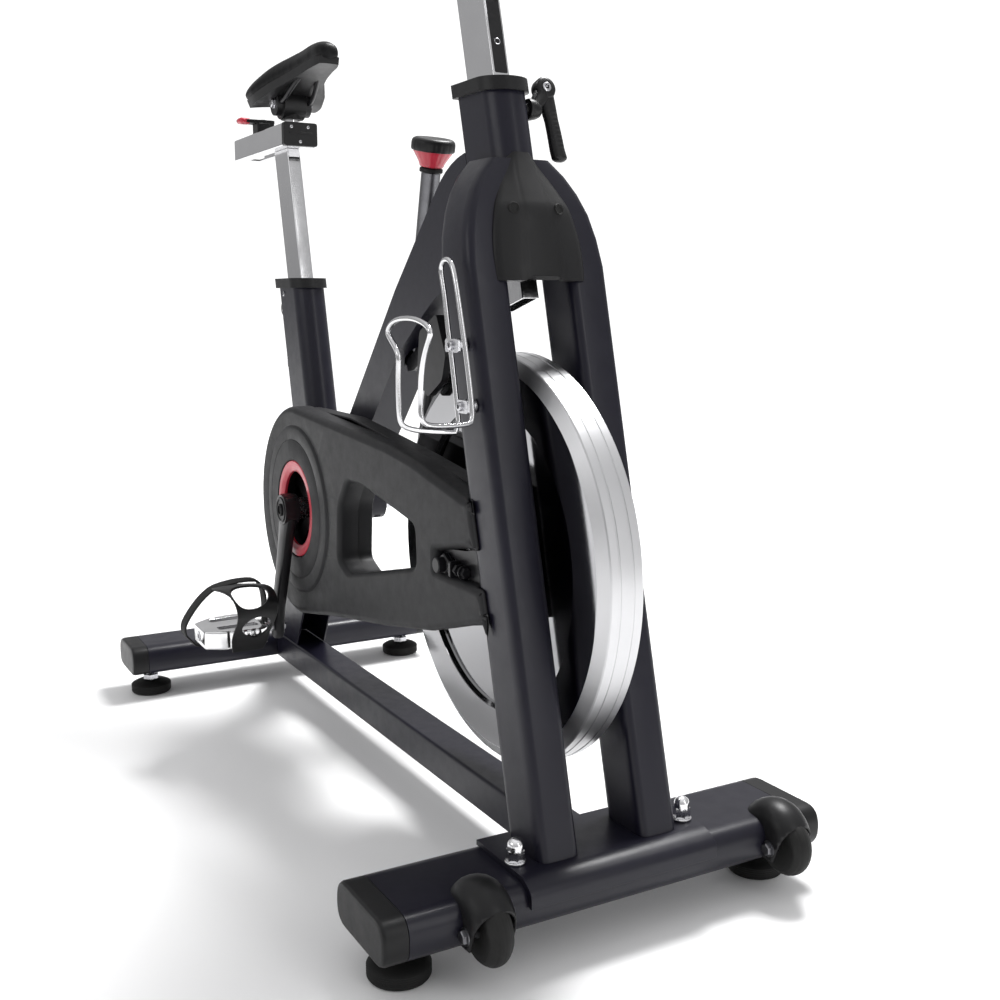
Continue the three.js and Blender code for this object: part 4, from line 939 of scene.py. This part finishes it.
SADDLE_STATIONS = [  # x, half width, height, thickness
    (-437, 33, 982, 20), (-431, 51, 982, 29), (-419, 61.5, 983.5, 35), (-403, 64.5, 986.5, 37.5),
    (-382, 62.5, 990, 37.5), (-352, 51, 996, 35.5), (-318, 37, 1001, 33), (-283, 28, 1005, 31),
    (-250, 23.5, 1008.5, 30), (-224, 20.5, 1010, 29), (-210.5, 17, 1009.5, 25), (-204, 10.5, 1009, 17)]


def droop(y, depth):
    """The saddle's fall towards its sides, as a negative height; depth is the fall at 66 mm."""
    return -((y / 66) ** 2) * depth


def saddle_ring(x, half, z, height, count=32):
    """A section of the cushion, drooping towards its sides."""
    ring = []
    for angle in angles(count):
        y = half * math.copysign(abs(math.cos(angle)) ** 0.9, math.cos(angle))
        up = math.copysign(abs(math.sin(angle)) ** 0.85, math.sin(angle)) * height * 0.5
        ring.append(at(x, y, z + 2.5 + up + droop(y, 17)))
    return ring


def swell(piece, pressure, cap):
    """Inflates a closed cushion by cloth simulation; no point moves more than cap millimetres."""
    scene = bpy.context.scene
    before = [v.co.copy() for v in piece.data.vertices]
    cloth = piece.modifiers.new("cloth", "CLOTH")
    cloth.settings.quality = 5
    cloth.settings.mass = 0.15
    cloth.settings.use_pressure = True
    cloth.settings.uniform_pressure_force = pressure
    cloth.settings.effector_weights.gravity = 0
    cloth.settings.tension_stiffness = 25
    cloth.settings.compression_stiffness = 25
    cloth.collision_settings.use_collision = False
    for number in range(1, 19):
        scene.frame_set(number)
    shaped = piece.evaluated_get(bpy.context.evaluated_depsgraph_get())
    after = [v.co.copy() for v in shaped.data.vertices]
    piece.modifiers.remove(cloth)
    scene.frame_set(1)
    for vertex, old, new in zip(piece.data.vertices, before, after):
        step = new - old
        if step.length > cap * MM:
            step = step.normalized() * cap * MM
        vertex.co = old + step


def saddle():
    """A padded vinyl cushion with a groove along its top, over a plastic shell and two rails."""
    stations = spline([Vector(s) for s in SADDLE_STATIONS], 4)
    cushion = Sculpt()
    cushion.skin([saddle_ring(*s) for s in stations])
    piece = cushion.make("saddle_cushion", "saddle", VINYL, sharp=180, replaces=("saddle",))
    piece.parent = None
    remesh = piece.modifiers.new("even", "REMESH")
    remesh.mode = "VOXEL"
    remesh.voxel_size = 0.0045
    shaped = piece.evaluated_get(bpy.context.evaluated_depsgraph_get())
    even = bpy.data.meshes.new_from_object(shaped)
    piece.modifiers.clear()
    piece.data = even
    swell(piece, 4.0, 4.0)
    relax = bmesh.new()
    relax.from_mesh(even)
    for _ in range(4):
        bmesh.ops.smooth_vert(relax, verts=relax.verts, factor=0.5, use_axis_x=True, use_axis_y=True,
                              use_axis_z=True)
    relax.to_mesh(even)
    relax.free()
    nose, tail = at(-252, 0, 0).x, at(-414, 0, 0).x
    seam = 0.985
    for vertex in even.vertices:
        x, y, z = vertex.co
        if z < seam:
            continue
        run = min(1.0, max(0.0, (nose - x) / 0.03)) * min(1.0, max(0.0, (x - tail) / 0.02))
        width = (3.0 + 5.0 * max(0.0, (nose - x) / 0.16)) * MM
        top = max(0.0, min(1.0, (z - 0.992) / 0.012))
        vertex.co.z -= 3.4 * MM * run * top * math.exp(-(y / width) ** 2)
    even.polygons.foreach_set("use_smooth", [True] * len(even.polygons))
    even.materials.clear()
    even.materials.append(VINYL)
    smooth = piece.modifiers.new("smooth", "SUBSURF")
    smooth.levels = smooth.render_levels = 1
    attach(piece, "saddle")
    shell = Sculpt()
    rings = []
    for x, half, z, height in spline([Vector(s) for s in SADDLE_STATIONS[1:-1]], 4):
        ring = []
        for k in range(25):
            s = -1 + k / 12
            y = s * half * 0.93
            arch = (1 - abs(s) ** 2.2) * -6.5
            ring.append(at(x, y, z - height * 0.18 + droop(y, 14) - arch * 0.2))
        for k in range(25):
            s = 1 - k / 12
            y = s * half * (0.70 + 0.16 * abs(s))
            keel = 9 * math.exp(-((x + 376) / 60) ** 2) * (1 - abs(s) ** 3)
            ring.append(at(x, y, z - height * 0.5 - 2.5 + droop(y, 11) - keel * 0.5))
        rings.append(ring)
    shell.skin(rings)
    shell.make("saddle_shell", "saddle", PLASTIC, sharp=50)
    for name, side in SIDES:
        rail = Sculpt()
        path = spline([at(-428, side * 20, 981), at(-412, side * 21, 970), at(-396, side * 22, 961),
                       at(-370, side * 22, 959.5), at(-345, side * 22, 962), at(-318, side * 19, 975),
                       at(-285, side * 13, 992), at(-262, side * 9, 999)], 8)
        rail.tube(path, 3.4, 16)
        rail.make("saddle_rail_" + name, "saddle", DARK_PAINT, sharp=60)
    clamp_low, clamp_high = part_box("saddle_clamp")
    barrel = (clamp_low + clamp_high) / 2
    barrel.z = 960 * MM
    for name, side in SIDES:
        nut = Sculpt()
        hex_head(nut, along(barrel + Y * side * 28 * MM, Y * side, Z), 7.2, 1.0, 5.6)
        nut.make("saddle_clamp_nut_" + name, "seat_slider", STEEL, sharp=30)


saddle()


# ---------------------------------------------------------------- handlebar

def handlebar():
    """Bull horns with dipped foam grips on a black steel bar, clamped to the sliding carriage."""
    front, bar_z, horn = 330, 1078, 225
    outer = {}
    for name, side in SIDES:
        points = [at(front - 26, 0, bar_z + 4), at(front - 26, side * 120, bar_z + 4),
                  at(front - 22, side * (horn - 30), bar_z + 6), at(front, side * horn, bar_z + 12),
                  at(front + 60, side * horn, bar_z + 22), at(front + 110, side * (horn - 8), bar_z + 44)]
        outer[side] = spline(points, 14)
        inner = spline([at(front - 26, side * 52, bar_z + 4), at(front + 30, side * 50, bar_z + 8),
                        at(front + 92, side * 46, bar_z + 26)], 18)
        grip = Sculpt()
        run = outer[side][10:]

        def fat(t):
            ring = 0.35 * math.cos(t * 2 * math.pi * 46)
            return (13.7 - 0.3 * ring) * min(1.0, 0.9 + t * 8) * min(1.0, 0.9 + (1 - t) * 8)

        grip.tube(run, fat, 32)
        grip.make("handlebar_grip_" + name, "handlebar_carriage", FOAM, sharp=50)
        stub = Sculpt()
        stub.tube(inner[4:], lambda t: 12.9 * min(1.0, 0.93 + t * 6) * min(1.0, 0.93 + (1 - t) * 6), 32)
        stub.make("handlebar_inner_grip_" + name, "handlebar_carriage", FOAM, sharp=50)
        plugs = Sculpt()
        for path in (run, inner):
            way = (path[-1] - path[-2]).normalized()
            plugs.turn([[0, 1.9], [9.5, 1.8], [11.6, 1.0], [12.4, -0.6], [0, -0.6]], along(path[-1], way),
                       36)
        plugs.make("handlebar_plugs_" + name, "handlebar_carriage", PLASTIC, sharp=50)
    core = Sculpt()
    core.tube(list(reversed(outer[-1][:12])) + outer[1][1:12], 12.6, 32)
    for side in (-1, 1):
        base = at(front - 26, side * 52, bar_z + 4)
        core.tube(spline([base, at(front + 30, side * 50, bar_z + 8)], 8)[:5], 11.8, 28)
    core.make("handlebar_core", "handlebar_carriage", DARK_PAINT, replaces=("handlebar",))
    block = Sculpt()
    seat = at(front - 26, 0, bar_z + 4)
    for side in (-1, 1):
        ring = along(seat + Y * side * 4 * MM, Y * side, Z)
        block.turn([[0, 0], [17.6, 0], [17.6, 15], [16.6, 16], [0, 16]], ring, 48)
    block.make("handlebar_clamp", "handlebar_carriage", DARK_PAINT, sharp=30)
    for k, (x, y) in enumerate(((-12, -11), (12, -11), (-12, 11), (12, 11))):
        spot = seat + Vector((x, y, 12.8)) * MM
        socket_screw(f"handlebar_clamp_screw_{k}", spot, Z, 3.0, 3.2, "handlebar_carriage")


handlebar()


# ---------------------------------------------------------------- belt guard

def resampled(points, step):
    """Adds points along the long straight runs of an outline."""
    dense = []
    for i, point in enumerate(points):
        here, after = Vector(point), Vector(points[(i + 1) % len(points)])
        if (after - here).length < 1e-6:
            continue
        count = max(1, int((after - here).length / step))
        dense += [tuple(here.lerp(after, k / count)) for k in range(count)]
    return dense


CRANK_X, CRANK_Z = -146, 357


def guard_face():
    """The guard's right half: a moulded shell with rounded edges, a belt window and an open axle slot."""
    face_y, joint_y, leg_y, edge = -90.0, -64.3, -87.0, 7.0
    first, final = 1.45, 4.75
    arc = [(-150 + 150 * math.cos(a), 352 + 150 * math.sin(a))
           for a in (first + (final - first) * k / 60 for k in range(61))]
    front = rounded([(427, 316, 7), (416.5, 352, 3), (304, 352, 5), (304, 379, 5), (370, 393, 3),
                     (404, 396.5, 3), (388, 450, 9)], 4)
    outline = [*front, *rounded([(388, 450), (214, 475, 40), (0, 500)], 40)[7:14], *arc,
               *rounded([(-140, 202), (-35, 224, 30), (153, 255)], 30)[7:14], (153, 255), (288, 281)]
    outline = resampled(outline, 9)
    window = resampled(rounded([(19, 386), (13, 310), (48, 295), (260, 346), (257, 399), (100, 425),
                                (50, 425)], 14), 7)
    window.reverse()
    hub = [(CRANK_X + 84 * math.cos(-a), CRANK_Z + 84 * math.sin(-a)) for a in angles(72)]
    shell = Sculpt()

    def wall_y(x, z):
        """How far the edge reaches inwards: less where the fork leg stands behind it."""
        leg_rear = 499 - 0.254 * (z - 95) - 35
        return leg_y if x > leg_rear - 1 else joint_y

    bm = shell.bm
    face_loops = []
    for loop, rounded_edge in ((outline, edge), (window, 5.0), (hub, 0.0)):
        rings = [[bm.verts.new(at(x, wall_y(x, z), z)) for x, z in loop]]
        for k in range(6 if rounded_edge else 1):
            angle = math.pi / 2 * k / 5 if rounded_edge else math.pi / 2
            depth = face_y + rounded_edge * (1 - math.sin(angle))
            moved = inset(loop, rounded_edge * (1 - math.cos(angle))) if rounded_edge else loop
            rings.append([bm.verts.new(at(x, min(depth, wall_y(px, pz) - 0.1), z))
                          for (x, z), (px, pz) in zip(moved, loop)])
        for lower, upper in zip(rings, rings[1:]):
            for i in range(len(loop)):
                j = (i + 1) % len(loop)
                bm.faces.new((lower[i], lower[j], upper[j], upper[i]))
        face_loops.append(rings[-1])
    bm.edges.ensure_lookup_table()
    rims = [bm.edges.get((ring[i], ring[i - 1])) for ring in face_loops for i in range(len(ring))]
    bmesh.ops.triangle_fill(bm, edges=rims, use_beauty=True, use_dissolve=False, normal=(0, -1, 0))
    # The edges are rounded already, so only the bevel's weighted normals are kept.
    piece = shell.make("guard_face", "frame", GUARD, bevel=0.01, solid=2.6, replaces=("guard_outer",))
    piece.modifiers.remove(piece.modifiers["edges"])
    disc = Sculpt()
    profile = [(71.0, -86), (71.0, -93.8), (72.2, -94.9), (100, -94.9), (101, -94.3), (102, -94.9),
               (117.5, -94.9), (119.6, -94.4), (123.6, -90.4), (125.5, -89.8)]
    rings = []
    for radius, y in profile:
        shift = 6 * max(0.0, (radius - 90) / 34)
        rings.append([at(CRANK_X + shift + radius * math.cos(a), y, CRANK_Z + radius * math.sin(a))
                      for a in angles(96)])
    disc.skin(rings, ends=False)
    disc.make("guard_disc", "frame", GUARD, sharp=32)
    ring = Sculpt()
    ring.turn([(54.2, -87), (54.2, -90.6), (54.8, -91.4), (60.2, -93.8), (61.4, -94.2), (68.6, -94.2),
               (69.8, -93.4), (69.9, -87)], along(at(CRANK_X, 0, CRANK_Z), Y, X), 96, loop=True)
    ring.make("guard_red_ring", "frame", RED, sharp=30, replaces=("guard_ring",))
    for k, (x, z) in enumerate(((376, 407), (374, 338), (-6, 474), (150, 276), (-270, 352))):
        socket_screw(f"guard_screw_{k}", at(x, -90.0, z), -Y, 3.4, 1.4, "frame", DARK_PAINT)


guard_face()


# ---------------------------------------------------------------- bottle cage

def bottle_cage():
    """One bent chrome wire on two screwed tabs."""
    back, front = -102, -166
    points = [(389, back, 531), (386, back, 545), (374, back, 599), (368, back, 620), (357, back, 668),
              (350, back, 686), (357, back, 697), (372, back, 696), (382, back, 682), (397, back, 633),
              (407, back, 599), (420, back, 544), (422, back - 3, 534), (424, back - 10, 531),
              (432, front + 8, 532), (434, front, 541), (431, front, 551), (434, front, 587),
              (446, front, 611), (456, front, 624), (447, front, 632), (416, front, 638), (375, front, 636),
              (357, front, 627), (357, front, 620), (372, front, 610), (382, front, 600), (380, front, 584),
              (381, front, 540), (383, front + 6, 525), (386, back - 14, 520), (388, back - 3, 520)]
    wire = Sculpt()
    path = spline([at(*p) for p in points], 7)
    smoothing_passes = 14
    for _ in range(smoothing_passes):
        path = [path[0], *((a + 2 * b + c) / 4 for a, b, c in zip(path, path[1:], path[2:])), path[-1]]
    wire.tube(path, 2.8, 16)
    wire.tube(spline([at(388, back - 3, 520), at(389, back, 532)], 4), 2.7, 16)
    wire.make("cage_wire", "frame", CHROME, sharp=60, replaces=("bottle_cage",))
    tabs = Sculpt()
    screws = (376, 609), (396, 547)
    for x, z in screws:
        place = along(at(x, back, z), -Y, X)
        tabs.prism(rounded([(-15, -7), (15, -7), (15, 7), (-15, 7)], 3.5), place, -2, 1.4)
        tabs.turn([[0, -15], [7.4, -15], [7.4, -2], [0, -2]], place, 32)
    tabs.make("cage_tabs", "frame", STEEL, bevel=0.5)
    for k, (x, z) in enumerate(screws):
        socket_screw(f"cage_screw_{k}", at(x, back - 1.4, z), -Y, 5.0, 3.2, "frame")


bottle_cage()


# ---------------------------------------------------------------- brake

def brake_spring():
    """The return spring round the brake rod's thin end."""
    turns, steps = 7, 240
    coils = []
    for k in range(steps + 1):
        t = k / steps
        angle = 2 * math.pi * turns * t
        spot = Vector((8.2 * math.cos(angle), 8.2 * math.sin(angle), -246 + 31 * t))
        coils.append(KNOB_PLACE @ (spot * MM))
    Sculpt().tube(coils, 1.1, 10).make("brake_spring", "brake_rod", STEEL, sharp=60)


brake_spring()


def brake_channel():
    """A bright folded channel in front of the brake arm; nothing joins it to the arm."""
    place = along(at(284, 0, 640), (0.87, 0, -0.5), Y)
    channel = Sculpt()
    section = [(-15, -9), (-15, 9), (15, 9), (15, -9), (12.6, -9), (12.6, 6.6), (-12.6, 6.6), (-12.6, -9)]
    channel.prism(section, place, -10, 10)
    channel.make("brake_channel", "brake_yoke", CHROME, bevel=0.6)


brake_channel()


# ---------------------------------------------------------------- stage, light and camera

def stage():
    """A pale floor that glows more away from the bike, under a grey sky that the camera sees as white."""
    bpy.ops.mesh.primitive_plane_add(size=30, location=(0, 0, -0.0005))
    floor = bpy.context.object
    floor.name = "floor"
    pale, nodes, shader = new_material("pale_floor")
    set_inputs(shader, Base_Color=(0.90, 0.90, 0.90, 1), Emission_Color=(1.0, 1.0, 1.0, 1), Roughness=0.55,
               Specular_IOR_Level=0.25)
    floor.data.materials.append(pale)
    place = nodes.nodes.new("ShaderNodeTexCoord").outputs["Object"]
    distance = vector_math(nodes, "LENGTH", place)
    glow = remap(nodes, distance, 0.01, 0.60, (0.9, 2.4))
    nodes.links.new(glow, shader.inputs["Emission Strength"])
    world = bpy.data.worlds.new("studio")
    bpy.context.scene.world = world
    world.use_nodes = True
    tree = world.node_tree
    background = tree.nodes["Background"]
    coords = tree.nodes.new("ShaderNodeTexCoord")
    split = tree.nodes.new("ShaderNodeSeparateXYZ")
    tree.links.new(coords.outputs["Generated"], split.inputs[0])
    ramp = tree.nodes.new("ShaderNodeValToRGB")
    # Brightness by height, from straight down to straight up.
    bands = ((0.0, 0.30), (0.47, 0.38), (0.56, 0.66), (0.70, 0.72), (0.84, 1.0), (1.0, 1.5))
    while len(ramp.color_ramp.elements) < len(bands):
        ramp.color_ramp.elements.new(0.5)
    for element, (position, value) in zip(ramp.color_ramp.elements, bands):
        element.position = position
        element.color = (value, value, value * 1.01, 1)
    height = remap(tree, split.outputs["Z"], 0.0, 1.0, (-1.0, 1.0))
    tree.links.new(height, ramp.inputs["Fac"])
    rays = tree.nodes.new("ShaderNodeLightPath")
    mix = tree.nodes.new("ShaderNodeMix")
    mix.data_type = "RGBA"
    tree.links.new(rays.outputs["Is Camera Ray"], mix.inputs["Factor"])
    tree.links.new(ramp.outputs["Color"], mix.inputs[6])
    mix.inputs[7].default_value = (1.8, 1.8, 1.8, 1)
    tree.links.new(mix.outputs[2], background.inputs["Color"])
    background.inputs["Strength"].default_value = 0.66


def area_light(name, position, target, size, power):
    data = bpy.data.lights.new(name, "AREA")
    data.shape = "RECTANGLE"
    data.size, data.size_y = size
    data.energy = power
    light = bpy.data.objects.new(name, data)
    light.location = position
    light.rotation_euler = (Vector(target) - Vector(position)).to_track_quat("-Z", "Y").to_euler()
    bpy.context.scene.collection.objects.link(light)


stage()
LIGHTS = [  # name, place, target, size, power
    ("key", (-0.4, 1.3, 3.2), (0, 0, 0.2), (1.0, 1.0), 150),
    ("front", (3.0, 0.9, 1.5), (0.2, 0, 0.5), (0.5, 2.2), 12),
    ("side", (0.2, -3.4, 2.2), (0, 0, 0.5), (2.4, 0.9), 14)]
for light in LIGHTS:
    area_light(*light)

camera_data = bpy.data.cameras.new("camera")
camera_data.lens = 42.976
camera_data.sensor_width = 36
camera = bpy.data.objects.new("camera", camera_data)
camera.location = (1.4866, -0.6724, 0.6547)
yaw, pitch = 0.5122, 0.1652
forward = Vector((-math.cos(yaw) * math.cos(pitch), math.sin(yaw) * math.cos(pitch), -math.sin(pitch)))
camera.rotation_euler = forward.to_track_quat("-Z", "Y").to_euler()
bpy.context.scene.collection.objects.link(camera)
bpy.context.scene.camera = camera
bpy.context.scene.view_settings.view_transform = "Standard"
